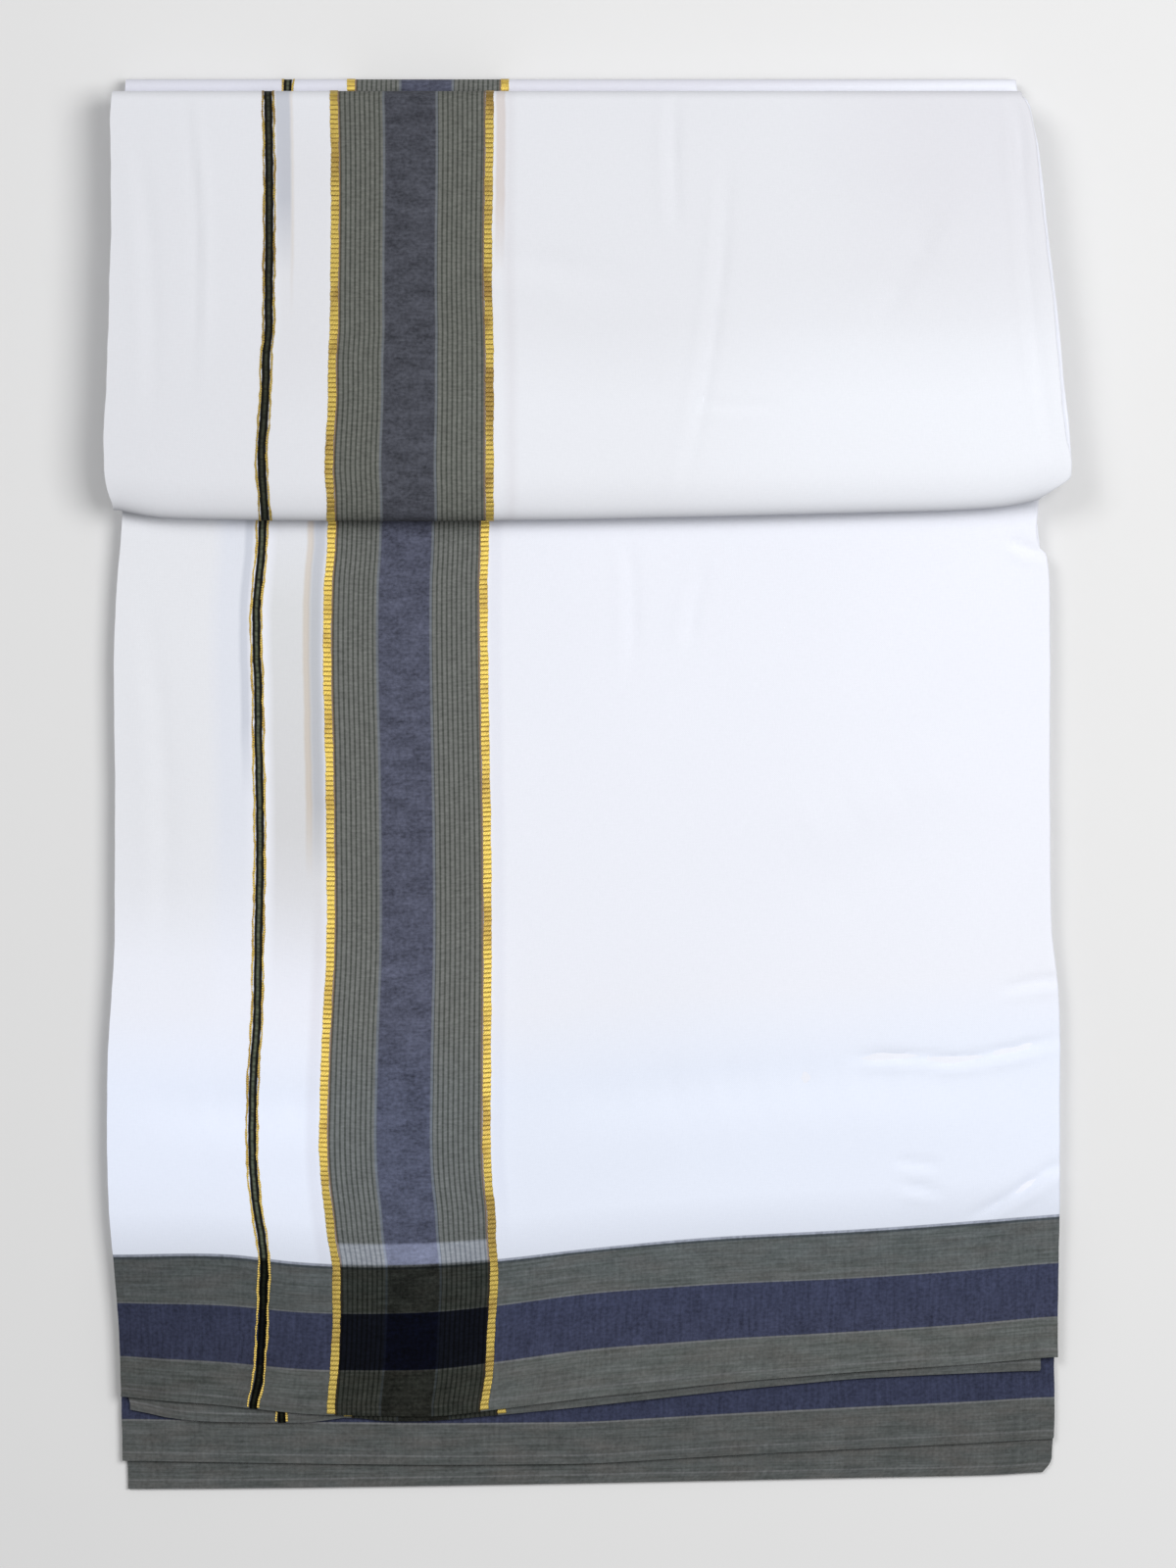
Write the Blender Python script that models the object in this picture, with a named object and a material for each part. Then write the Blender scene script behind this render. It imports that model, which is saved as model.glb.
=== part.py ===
"""A folded cotton dhoti lying flat.

The cloth is one uncut loom length, folded lengthwise into a strip and then crosswise. Its tail lies
open at the near end, where four plies end in steps, and the rest is folded into a bundle on top of
the far part of the tail. Each stretch that shows is a wall of its own, and the plies that don't show
are two rounded solids with layered edges. Sizes are in millimetres until they reach the mesh.
X runs to the right, Y runs from the near end to the far end, and Z is up.
"""

import math
from typing import Callable, NamedTuple, Sequence

import bmesh
import bpy

MM = 0.001
WALL = 1.0
GAP = 0.3
STEP = WALL + GAP

# Heights of the stack, from the floor up.
LOWER_LEAF_TOP = WALL + STEP
TAIL_RISE = 2.6
RISE_START = -205.0
RISE_END = -110.0
TAIL_TOP = LOWER_LEAF_TOP + TAIL_RISE + 2 * STEP
BUNDLE_BOTTOM = TAIL_TOP + GAP
BUNDLE_THICKNESS = 13.0
BUNDLE_TOP = BUNDLE_BOTTOM + BUNDLE_THICKNESS
BUNDLE_CROWN = 0.06

# The crosswise folds: how deep each round is, along Y.
BUNDLE_FAR = 231.7
NEAR_NOSE_DEPTH = 11.0
FAR_NOSE_DEPTH = 4.5
FAR_NOSE_END = math.radians(-40)
TAIL_FAR = 236.8
TAIL_NOSE_DEPTH = 4.5
TAIL_NOSE_END = math.radians(-35)

# The lengthwise folds, at the right.
BUNDLE_FOLD_RADIUS = 3.0
TAIL_FOLD_RADIUS = 2.2

# The hidden plies.
BUNDLE_LAYERS = 5
TAIL_LAYERS = 2
LAYER_LEVELS = (0.0, 0.22, 0.5, 0.78)
LAYER_INSETS = (0.9, 0.2, 0.0, 0.2)
TAIL_FILL_NEAR = -168.0
FILL_CORNER = 12.0
FILL_EASE = 0.2

ACROSS = (0.0, 0.03, 0.09, 0.2, 0.34, 0.5, 0.66, 0.8, 0.91, 0.97, 1.0)
SHARP_ANGLE = math.radians(40)


class Sides(NamedTuple):
    """Where the left and right edges are at one place along the cloth."""

    y: float
    left: float
    right: float


class EndPoint(NamedTuple):
    """Where an end or a fold is at one place across the cloth."""

    x: float
    y: float


class Station(NamedTuple):
    """A place on a leaf's section, with the direction that faces out."""

    y: float
    z: float
    out_y: float
    out_z: float


BUNDLE_SIDES = (
    Sides(87.8, -159.3, 153.0),
    Sides(92.0, -160.3, 157.5),
    Sides(98.3, -161.2, 160.6),
    Sides(104.9, -161.4, 161.4),
    Sides(114.7, -161.4, 160.4),
    Sides(147.5, -159.8, 157.5),
    Sides(180.2, -159.1, 154.2),
    Sides(209.7, -159.1, 151.2),
    Sides(225.0, -159.1, 148.9),
    Sides(231.7, -158.6, 146.5),
)
BUNDLE_NEAR_FOLD = (
    EndPoint(-159.1, 93.4),
    EndPoint(-155.8, 90.4),
    EndPoint(-142.7, 88.8),
    EndPoint(-51.0, 87.8),
    EndPoint(14.6, 88.8),
    EndPoint(80.1, 90.4),
    EndPoint(132.6, 91.8),
    EndPoint(145.7, 93.4),
    EndPoint(153.8, 95.7),
)
TAIL_SIDES = (
    Sides(-207.2, -156.7, 157.8),
    Sides(-174.3, -158.7, 158.2),
    Sides(-144.7, -161.2, 158.4),
    Sides(-98.7, -161.2, 158.4),
    Sides(-82.2, -160.3, 158.0),
    Sides(-65.8, -159.0, 155.7),
    Sides(-16.4, -158.7, 155.1),
    Sides(52.6, -159.0, 155.1),
    Sides(69.1, -157.7, 154.9),
    Sides(75.6, -156.7, 154.7),
    Sides(85.5, -156.1, 151.1),
    Sides(228.0, -155.7, 145.5),
    Sides(236.8, -155.0, 143.5),
)
TAIL_END = (
    EndPoint(-156.1, -205.2),
    EndPoint(-148.2, -206.9),
    EndPoint(-111.3, -209.2),
    EndPoint(-86.7, -212.8),
    EndPoint(-59.4, -213.5),
    EndPoint(-35.4, -210.5),
    EndPoint(-0.2, -206.2),
    EndPoint(65.6, -199.3),
    EndPoint(131.4, -194.7),
    EndPoint(158.0, -192.1),
)
UNDER_SIDES = (
    Sides(-215.0, -155.9, 152.1),
    Sides(-145.0, -158.2, 152.3),
    Sides(-16.4, -157.2, 151.0),
    Sides(75.0, -155.2, 148.5),
    Sides(232.0, -153.5, 139.5),
)
UNDER_END = (
    EndPoint(-156.0, -207.0),
    EndPoint(-152.0, -211.0),
    EndPoint(-138.0, -214.1),
    EndPoint(-59.4, -214.5),
    EndPoint(-29.1, -212.2),
    EndPoint(32.7, -205.6),
    EndPoint(76.1, -200.7),
    EndPoint(152.1, -197.0),
)
LOWER_SIDES = (
    Sides(-229.0, -156.5, 156.8),
    Sides(-160.0, -157.5, 156.9),
    Sides(-95.0, -158.0, 156.5),
    Sides(-60.0, -156.8, 153.8),
    Sides(75.0, -154.8, 150.5),
    Sides(232.0, -153.0, 140.0),
)
LOWER_END = (
    EndPoint(-156.5, -227.6),
    EndPoint(-59.6, -229.0),
    EndPoint(0.0, -228.7),
    EndPoint(65.8, -224.7),
    EndPoint(120.0, -222.3),
    EndPoint(156.8, -220.0),
)
BOTTOM_SIDES = (
    Sides(-237.2, -154.7, 153.6),
    Sides(-231.0, -154.7, 155.9),
    Sides(-220.0, -155.2, 156.2),
    Sides(-95.0, -156.5, 155.5),
    Sides(-60.0, -155.6, 152.8),
    Sides(75.0, -153.8, 149.5),
    Sides(235.0, -152.0, 139.0),
)
BOTTOM_END = (
    EndPoint(-154.7, -237.2),
    EndPoint(-105.8, -236.9),
    EndPoint(0.0, -235.3),
    EndPoint(98.8, -233.3),
    EndPoint(148.0, -232.2),
    EndPoint(153.6, -231.0),
)


def read_table(rows: Sequence[NamedTuple], column: str, at: float) -> float:
    """Reads a column of a table at a key, the first column, with a smooth curve through its rows."""
    keys = [row[0] for row in rows]
    values = [getattr(row, column) for row in rows]
    if at <= keys[0]:
        return values[0]
    if at >= keys[-1]:
        return values[-1]
    last = len(rows) - 1
    slopes = []
    for n in range(last + 1):
        before, after = max(n - 1, 0), min(n + 1, last)
        slopes.append((values[after] - values[before]) / (keys[after] - keys[before]))
    n = max(k for k in range(last) if keys[k] <= at)
    width = keys[n + 1] - keys[n]
    t = (at - keys[n]) / width
    rise = t * t * (3 - 2 * t)
    start = t * (1 - t) * (1 - t)
    end = t * t * (t - 1)
    curve = values[n] + (values[n + 1] - values[n]) * rise
    return curve + width * (slopes[n] * start + slopes[n + 1] * end)


def smooth_step(at: float, start: float, end: float) -> float:
    """Goes softly from 0 at start to 1 at end."""
    t = min(1.0, max(0.0, (at - start) / (end - start)))
    return t * t * (3 - 2 * t)


def spread(start: float, end: float, count: int) -> list[float]:
    """Gives count + 1 evenly spaced values from start to end."""
    return [start + (end - start) * n / count for n in range(count + 1)]


def tail_rise(y: float) -> float:
    """How far the hidden plies lift the tail, which sinks towards its end."""
    return TAIL_RISE * smooth_step(y, RISE_START, RISE_END)


def settled(y: float, z: float) -> float:
    """The height of a point of the tail once it has sunk towards its end."""
    return z - TAIL_RISE + tail_rise(y)


def crowned(y: float, z: float) -> float:
    """The height of a point of the bundle, which is thickest halfway along."""
    near = BUNDLE_NEAR_FOLD[0].y
    middle, half = (BUNDLE_FAR + near) / 2, (BUNDLE_FAR - near) / 2
    sink = BUNDLE_CROWN * min(1.0, ((y - middle) / half) ** 2)
    return BUNDLE_BOTTOM + (z - BUNDLE_BOTTOM) * (1 - sink)


def with_normals(section: Sequence[tuple[float, float]]) -> list[Station]:
    """Adds to each point of a section the direction to the left of its run, which faces out."""
    stations = []
    last = len(section) - 1
    for n, (y, z) in enumerate(section):
        before, after = section[max(n - 1, 0)], section[min(n + 1, last)]
        run_y, run_z = after[0] - before[0], after[1] - before[1]
        length = math.hypot(run_y, run_z)
        stations.append(Station(y, z, -run_z / length, run_y / length))
    return stations


def nose(centre: tuple[float, float], radii: tuple[float, float], start: float, end: float, count: int):
    """Points round a fold. The angle is 0 at the fold's tip and a quarter turn at its top."""
    points = []
    for angle in spread(start, end, count):
        points.append((centre[0] + radii[0] * math.cos(angle), centre[1] + radii[1] * math.sin(angle)))
    return points


def bundle_section() -> list[Station]:
    """The outermost ply of the bundle: back along its underside, round the near fold, over the top
    and down round the far fold."""
    near_fold = min(point.y for point in BUNDLE_NEAR_FOLD)
    near_centre = near_fold + NEAR_NOSE_DEPTH
    far_centre = BUNDLE_FAR - FAR_NOSE_DEPTH
    middle = (BUNDLE_BOTTOM + BUNDLE_TOP) / 2
    height = BUNDLE_THICKNESS / 2
    quarter = math.pi / 2
    section = [(y, BUNDLE_BOTTOM) for y in spread(far_centre - FAR_NOSE_DEPTH, near_centre, 7)[:-1]]
    section += nose((near_centre, middle), (-NEAR_NOSE_DEPTH, height), -quarter, quarter, 10)[:-1]
    section += [(y, BUNDLE_TOP) for y in spread(near_centre, far_centre, 9)[:-1]]
    section += nose((far_centre, middle), (FAR_NOSE_DEPTH, height), quarter, FAR_NOSE_END, 8)
    return with_normals(section)


def tail_section() -> list[Station]:
    """The tail's top ply: from its end up onto the hidden plies and down round the far fold."""
    near = min(point.y for point in TAIL_END)
    far_centre = TAIL_FAR - TAIL_NOSE_DEPTH
    section = [(y, TAIL_TOP) for y in spread(near, far_centre, 24)[:-1]]
    radii = (TAIL_NOSE_DEPTH, TAIL_TOP / 2)
    section += nose((far_centre, TAIL_TOP / 2), radii, math.pi / 2, TAIL_NOSE_END, 8)
    return with_normals(section)


def follow_end(x: float, y: float, end: Sequence[EndPoint], far: float) -> float:
    """Moves a place along the cloth so that the near end keeps its slanted line."""
    near = min(point.y for point in end)
    share = min(1.0, max(0.0, (far - y) / (far - near)))
    return y + share * (read_table(end, "y", x) - near)


def across(sides: Sequence[Sides], y: float, share: float, left_inset: float, right_inset: float):
    """The place across the cloth at a share of its width, between its inset edges."""
    left = read_table(sides, "left", y) + left_inset
    right = read_table(sides, "right", y) - right_inset
    return left + (right - left) * share


def closed_block(name: str, cells: tuple[int, int, int], point: Callable) -> bpy.types.Object:
    """Makes one closed body from the outside of a block of cells, whose corners point gives."""
    shape = bmesh.new()
    corners = {}

    def corner(index: tuple[int, int, int]):
        if index not in corners:
            corners[index] = shape.verts.new([value * MM for value in point(*index)])
        return corners[index]

    for axis in range(3):
        first, second = [other for other in range(3) if other != axis]
        for side in (0, cells[axis]):
            for a in range(cells[first]):
                for b in range(cells[second]):
                    ring = []
                    for step_a, step_b in ((0, 0), (1, 0), (1, 1), (0, 1)):
                        index = [side, side, side]
                        index[first], index[second] = a + step_a, b + step_b
                        ring.append(corner(tuple(index)))
                    shape.faces.new(ring)
    bmesh.ops.recalc_face_normals(shape, faces=shape.faces)
    mesh = bpy.data.meshes.new(name)
    shape.to_mesh(mesh)
    shape.free()
    mesh.shade_smooth()
    mesh.set_sharp_from_angle(angle=SHARP_ANGLE)
    piece = bpy.data.objects.new(name, mesh)
    bpy.context.collection.objects.link(piece)
    return piece


def leaf(name: str, section: Sequence[Station], sides: Sequence[Sides], end: Sequence[EndPoint],
         reach: float, fold_radius: float, height: Callable) -> bpy.types.Object:
    """Makes a wall along a section, which rolls over into a lengthwise fold at its right edge.

    reach is how far up the cloth the slant of its near end is felt, and height settles each point.
    """
    columns = [(share, 0.0) for share in ACROSS]
    columns += [(1.0, angle) for angle in spread(0.0, math.pi / 2, 4)[1:]]

    def point(along: int, column: int, side: int) -> tuple[float, float, float]:
        station = section[along]
        share, angle = columns[column]
        depth = WALL * side
        sink = depth + (fold_radius - depth) * (1 - math.cos(angle))
        out = (fold_radius - depth) * math.sin(angle)
        x = across(sides, station.y, share, 0.0, fold_radius) + out
        y = follow_end(x, station.y, end, reach) - station.out_y * sink
        z = station.z - station.out_z * sink
        return (x, y, height(y, z))

    return closed_block(name, (len(section) - 1, len(columns) - 1, 1), point)


def flat_leaf(name: str, sides: Sequence[Sides], end: Sequence[EndPoint], far: float,
              bottom: Callable[[float], float]) -> bpy.types.Object:
    """Makes a ply that lies between others, as a wall that bottom gives the underside of."""
    near = min(point.y for point in end)
    places = spread(near, far, 14)

    def point(along: int, column: int, level: int) -> tuple[float, float, float]:
        x = across(sides, places[along], ACROSS[column], 0.0, 0.0)
        y = follow_end(x, places[along], end, far)
        return (x, y, bottom(y) + WALL * level)

    return closed_block(name, (len(places) - 1, len(ACROSS) - 1, 1), point)


def layer_levels(layers: int) -> list[tuple[float, float]]:
    """Gives each level of a layered solid as a share of its height and how far its edge sinks in."""
    levels = []
    for layer in range(layers):
        for share, inset in zip(LAYER_LEVELS, LAYER_INSETS):
            levels.append(((layer + share) / layers, inset))
    levels.append((1.0, LAYER_INSETS[0]))
    return levels


def corner_inset(y: float, near: float, far: float) -> float:
    """How far a side sinks in towards a round corner at either end."""
    to_end = min(y - near, far - y, FILL_CORNER)
    return FILL_CORNER - math.sqrt(max(0.0, FILL_CORNER**2 - (FILL_CORNER - to_end) ** 2))


def end_bunched(near: float, far: float, count: int) -> list[float]:
    """Places from near to far that lie closer together at the ends, for round corners."""
    middle, half = (near + far) / 2, (far - near) / 2
    return [middle - half * math.cos(math.pi * n / count) for n in range(count + 1)]


def bundle_fill() -> bpy.types.Object:
    """The bundle's hidden plies: one solid inside the outermost ply, grooved between its folds."""
    levels = layer_levels(BUNDLE_LAYERS)
    bottom, top = BUNDLE_BOTTOM + STEP, BUNDLE_TOP - STEP
    middle, height = (bottom + top) / 2, (top - bottom) / 2
    near_fold = min(point.y for point in BUNDLE_NEAR_FOLD)
    near_centre = near_fold + NEAR_NOSE_DEPTH
    far_centre = BUNDLE_FAR - FAR_NOSE_DEPTH
    clear = STEP + 0.25
    cells = 14

    def fold_clearance(z: float) -> float:
        """How far the right side sinks in beside the outermost ply's own lengthwise fold."""
        inner = BUNDLE_FOLD_RADIUS - clear
        past = max(z - (BUNDLE_TOP - BUNDLE_FOLD_RADIUS), BUNDLE_BOTTOM + BUNDLE_FOLD_RADIUS - z, 0.0)
        return BUNDLE_FOLD_RADIUS - math.sqrt(max(0.0, inner**2 - past**2))

    def point(along: int, column: int, level: int) -> tuple[float, float, float]:
        share, groove = levels[level]
        z = bottom + (top - bottom) * share
        narrowing = math.sqrt(max(0.0, 1 - ((z - middle) / height) ** 2))
        near = near_centre - (NEAR_NOSE_DEPTH - clear) * narrowing
        far = far_centre + (FAR_NOSE_DEPTH - clear) * narrowing
        y = end_bunched(near, far, cells)[along]
        corner = corner_inset(y, near, far)
        right = fold_clearance(z) + groove * 0.5 + corner + FILL_EASE
        x = across(BUNDLE_SIDES, y, ACROSS[column], 0.8 + groove + corner, right)
        y = follow_end(x, y, BUNDLE_NEAR_FOLD, BUNDLE_FAR)
        return (x, y, crowned(y, z))

    return closed_block("front_fill", (cells, len(ACROSS) - 1, len(levels) - 1), point)


def tail_fill() -> bpy.types.Object:
    """The tail's hidden plies: one solid that thins out towards the near end."""
    levels = layer_levels(TAIL_LAYERS)
    bottom = LOWER_LEAF_TOP + GAP
    far = TAIL_FAR - TAIL_NOSE_DEPTH - GAP
    cells = 14
    places = end_bunched(TAIL_FILL_NEAR, far, cells)

    def point(along: int, column: int, level: int) -> tuple[float, float, float]:
        share, groove = levels[level]
        y = places[along]
        corner = corner_inset(y, TAIL_FILL_NEAR, far)
        x = across(TAIL_SIDES, y, ACROSS[column], 1.2 + groove + corner, 1.7 + groove + corner)
        return (x, y, bottom + (tail_rise(y) - GAP) * share)

    return closed_block("lower_fill", (cells, len(ACROSS) - 1, len(levels) - 1), point)


def cloth_material(name: str, colour: tuple[float, float, float]) -> bpy.types.Material:
    """Makes a matt cotton material of one colour."""
    material = bpy.data.materials.new(name)
    material.use_nodes = True
    shader = material.node_tree.nodes["Principled BSDF"]
    shader.inputs["Base Color"].default_value = (*colour, 1.0)
    shader.inputs["Roughness"].default_value = 0.85
    shader.inputs["Metallic"].default_value = 0.0
    material.diffuse_color = (*colour, 1.0)
    return material


def build() -> None:
    """Makes every piece of the folded cloth and gives each its material."""
    for old in list(bpy.data.objects):
        bpy.data.objects.remove(old)

    inner_far = TAIL_FAR - TAIL_NOSE_DEPTH - GAP
    bottom_far = TAIL_FAR - 2.0
    white = (0.84, 0.85, 0.89)
    grey = (0.11, 0.12, 0.115)
    pieces = {
        flat_leaf("bottom_leaf", BOTTOM_SIDES, BOTTOM_END, bottom_far, lambda y: 0.0): grey,
        flat_leaf("lower_leaf", LOWER_SIDES, LOWER_END, inner_far, lambda y: STEP): grey,
        tail_fill(): white,
        flat_leaf("under_leaf", UNDER_SIDES, UNDER_END, inner_far,
                  lambda y: 2 * STEP + tail_rise(y)): white,
        leaf("tail_leaf", tail_section(), TAIL_SIDES, TAIL_END, TAIL_FAR - TAIL_NOSE_DEPTH,
             TAIL_FOLD_RADIUS, settled): white,
        bundle_fill(): white,
        leaf("front_leaf", bundle_section(), BUNDLE_SIDES, BUNDLE_NEAR_FOLD, BUNDLE_FAR,
             BUNDLE_FOLD_RADIUS, crowned): white,
    }
    for piece, colour in pieces.items():
        piece.data.materials.append(cloth_material(piece.name + "_cotton", colour))


build()
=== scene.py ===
"""Looks of a folded cotton dhoti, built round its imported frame.

The cloth lies flat: a long tail whose plies end in steps at the near end, and a thick bundle of folds
on the tail's far part. Lengths are in millimetres until they reach a mesh or a UV map, which are in
metres. X runs to the right, Y from the near end to the far end, and Z is up.
"""

import logging
import math
from dataclasses import dataclass, field
from enum import Enum
from typing import Callable, NamedTuple, Sequence

import bpy
import numpy as np
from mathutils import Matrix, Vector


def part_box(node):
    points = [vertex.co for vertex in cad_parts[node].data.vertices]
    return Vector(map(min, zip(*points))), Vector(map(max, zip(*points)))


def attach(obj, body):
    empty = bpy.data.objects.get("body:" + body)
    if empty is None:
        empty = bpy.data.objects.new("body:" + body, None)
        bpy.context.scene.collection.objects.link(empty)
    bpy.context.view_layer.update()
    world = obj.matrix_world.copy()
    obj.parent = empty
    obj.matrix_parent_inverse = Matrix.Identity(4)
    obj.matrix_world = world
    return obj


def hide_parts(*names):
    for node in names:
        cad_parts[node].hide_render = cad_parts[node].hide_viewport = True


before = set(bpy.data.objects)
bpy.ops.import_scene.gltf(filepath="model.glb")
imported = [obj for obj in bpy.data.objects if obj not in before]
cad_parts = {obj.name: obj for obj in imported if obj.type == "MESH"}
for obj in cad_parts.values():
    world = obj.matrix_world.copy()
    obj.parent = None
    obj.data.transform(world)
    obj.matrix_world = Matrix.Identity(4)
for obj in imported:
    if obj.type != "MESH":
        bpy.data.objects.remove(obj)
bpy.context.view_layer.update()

MM = 0.001
UV_NAME = "cloth_metres"
LOG = logging.getLogger("dhoti")

Array = np.ndarray
Colour = tuple[float, float, float]
WHITE: Colour = (1.0, 1.0, 1.0)


# ---------------------------------------------------------------- small maths


def smooth_step(at: Array, start: float, end: float) -> Array:
    """Goes softly from 0 at start to 1 at end.

    Args:
        at: The places to read.
        start: Where the step begins.
        end: Where the step is complete.

    Returns:
        The share of the step at each place.
    """
    t = np.clip((np.asarray(at, float) - start) / (end - start), 0.0, 1.0)
    return t * t * (3 - 2 * t)


def bell(at: Array, width: float) -> Array:
    """A soft hump that is 1 at 0 and fades out over a width."""
    return np.exp(-((np.asarray(at, float) / width) ** 2))


def wander(at: Array, seed: float, lengths: Sequence[float] = (61.0, 27.0, 11.0)) -> Array:
    """A slow, repeatable wander of about plus or minus 1, made of a few waves.

    Args:
        at: The places to read, in millimetres.
        seed: Shifts the waves, so that two edges differ.
        lengths: The length of each wave.

    Returns:
        The wander at each place.
    """
    at = np.asarray(at, float)
    total = np.zeros_like(at)
    for n, length in enumerate(lengths):
        phase = seed * (1.7 + n) + n * 0.9
        total = total + np.sin(2 * math.pi * at / length + phase) / (n + 1.4)
    return total * 0.75


class Row(NamedTuple):
    """One row of a table of woven lines: where they lie at a place along the cloth."""

    y: float
    thin_line: float
    band_left: float
    band_right: float


class EndRow(NamedTuple):
    """Where the end border's top line lies at a place across the cloth, and how far the lines halfway
    down to the cut end bow up it."""

    x: float
    y: float
    lift: float


def read_rows(rows: Sequence[NamedTuple], column: str, at: Array) -> Array:
    """Reads a column of a table at its first column, with a curve through the rows.

    Args:
        rows: The table, in rising order of its first column.
        column: The name of the column to read.
        at: The places to read.

    Returns:
        The column's value at each place, level past both ends.
    """
    keys = np.array([row[0] for row in rows], float)
    values = np.array([getattr(row, column) for row in rows], float)
    slopes = np.gradient(values, keys)
    at = np.clip(np.asarray(at, float), keys[0], keys[-1])
    n = np.clip(np.searchsorted(keys, at, side="right") - 1, 0, len(keys) - 2)
    width = keys[n + 1] - keys[n]
    t = (at - keys[n]) / width
    rise = t * t * (3 - 2 * t)
    start, end = t * (1 - t) ** 2, t * t * (t - 1)
    curve = values[n] + (values[n + 1] - values[n]) * rise
    return curve + width * (slopes[n] * start + slopes[n + 1] * end)


# ---------------------------------------------------------------- what the frame gives


class CadNode:
    """Reads where a CAD node's edges are, by slicing its mesh. Every length is in millimetres."""

    def __init__(self, name: str) -> None:
        """Takes the corners and edges of the node's mesh."""
        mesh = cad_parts[name].data
        points = np.zeros(len(mesh.vertices) * 3, np.float32)
        mesh.vertices.foreach_get("co", points)
        ends = np.zeros(len(mesh.edges) * 2, np.int32)
        mesh.edges.foreach_get("vertices", ends)
        self.points = points.reshape(-1, 3).astype(float) / MM
        self.ends = ends.reshape(-1, 2)
        low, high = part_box(name)
        self.low, self.high = np.array(low) / MM, np.array(high) / MM

    def slice(self, axis: int, at: float) -> Array:
        """Gives the points where the node's edges cross a plane across an axis."""
        a, b = self.points[self.ends[:, 0]], self.points[self.ends[:, 1]]
        side_a, side_b = a[:, axis] - at, b[:, axis] - at
        crossing = (side_a * side_b) < 0
        share = side_a[crossing] / (side_a[crossing] - side_b[crossing])
        return a[crossing] + (b[crossing] - a[crossing]) * share[:, None]

    def profile(self, axis: int, start: float, end: float, count: int, column: int,
                highest: bool) -> Callable[[Array], Array]:
        """Samples an edge of the node along an axis.

        Args:
            axis: The axis to slice along.
            start: The first slice.
            end: The last slice.
            count: How many slices.
            column: Which coordinate of the slice to read.
            highest: Whether to read its highest value, or else its lowest.

        Returns:
            A function that gives the softened edge at any place, level past both ends.
        """
        places = np.linspace(start, end, count)
        values = []
        for place in places:
            points = self.slice(axis, place)[:, column]
            values.append(points.max() if highest else points.min())
        values = np.array(values)
        padded = np.concatenate([values[:1].repeat(2), values, values[-1:].repeat(2)])
        soft = np.convolve(padded, np.array([1, 2, 3, 2, 1]) / 9, mode="valid")
        return lambda at: np.interp(at, places, soft)


# ---------------------------------------------------------------- creases


CREASE_BOW = 0.025
CREASE_UNEVENNESS = 0.3
CREASE_LIP = 0.45


class Crease(NamedTuple):
    """A soft trough pressed into a ply, straight from one end to the other. A ridge has a depth below 0."""

    start: tuple[float, float]
    end: tuple[float, float]
    depth: float
    width: float


def creased(creases: Sequence[Crease], x: Array, y: Array) -> Array:
    """How far the creases lower a face.

    Args:
        creases: The troughs and ridges of the ply.
        x: The places across the cloth.
        y: The places along the cloth.

    Returns:
        The total drop at each place, in millimetres.
    """
    drop = np.zeros(np.broadcast(x, y).shape)
    for n, crease in enumerate(creases):
        start, end = np.array(crease.start), np.array(crease.end)
        length = float(np.linalg.norm(end - start))
        run = (end - start) / length
        along = (x - start[0]) * run[0] + (y - start[1]) * run[1]
        bow = CREASE_BOW * length * np.sin(math.pi * np.clip(along / length, 0.0, 1.0)) * (-1) ** n
        aside = (x - start[0]) * run[1] - (y - start[1]) * run[0] + bow
        fade = smooth_step(along, -0.1 * length, 0.3 * length)
        fade = fade * smooth_step(length - along, -0.1 * length, 0.35 * length)
        uneven = 1 + CREASE_UNEVENNESS * wander(along, n * 1.3, (23.0, 9.0))
        lip = CREASE_LIP * bell(aside - 1.7 * crease.width, 1.1 * crease.width)
        drop = drop + crease.depth * fade * uneven * (bell(aside, crease.width) - lip)
    return drop


# ---------------------------------------------------------------- faces of the plies that show


class Section:
    """The line that a ply's face follows in the plane of Y and Z, from one end to the other."""

    def __init__(self, points: Array) -> None:
        """Takes the line's points and works out its length and which way it faces."""
        self.points = points
        steps = np.linalg.norm(np.diff(points, axis=0), axis=1)
        self.lengths = np.concatenate([[0.0], np.cumsum(steps)])
        run = np.gradient(points, axis=0)
        run = run / np.linalg.norm(run, axis=1)[:, None]
        self.outs = np.stack([-run[:, 1], run[:, 0]], axis=1)

    def at(self, length: Array) -> tuple[Array, Array, Array, Array]:
        """Gives Y, Z and the outward direction's Y and Z at a length along the line."""
        y, z = (np.interp(length, self.lengths, self.points[:, k]) for k in (0, 1))
        out_y, out_z = (np.interp(length, self.lengths, self.outs[:, k]) for k in (0, 1))
        size = np.hypot(out_y, out_z)
        return y, z, out_y / size, out_z / size


def arc(centre: tuple[float, float], radii: tuple[float, float], start: float, end: float,
        count: int) -> Array:
    """Points round a fold.

    Args:
        centre: The Y and Z of the fold's centre.
        radii: Its depth along Y, below 0 where it points to the near end, and its half height.
        start: The first angle in degrees: 0 is the tip and 90 the top.
        end: The last angle.
        count: How many steps to take.

    Returns:
        The points, as rows of Y and Z.
    """
    angles = np.radians(np.linspace(start, end, count + 1))
    return np.stack([centre[0] + radii[0] * np.cos(angles), centre[1] + radii[1] * np.sin(angles)], axis=1)


def straight(start: float, end: float, z: float, step: float) -> Array:
    """Points along a level run, without the last one, about a step apart."""
    count = max(2, round(abs(end - start) / step))
    places = np.linspace(start, end, count + 1)[:-1]
    return np.stack([places, np.full(count, z)], axis=1)


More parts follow.
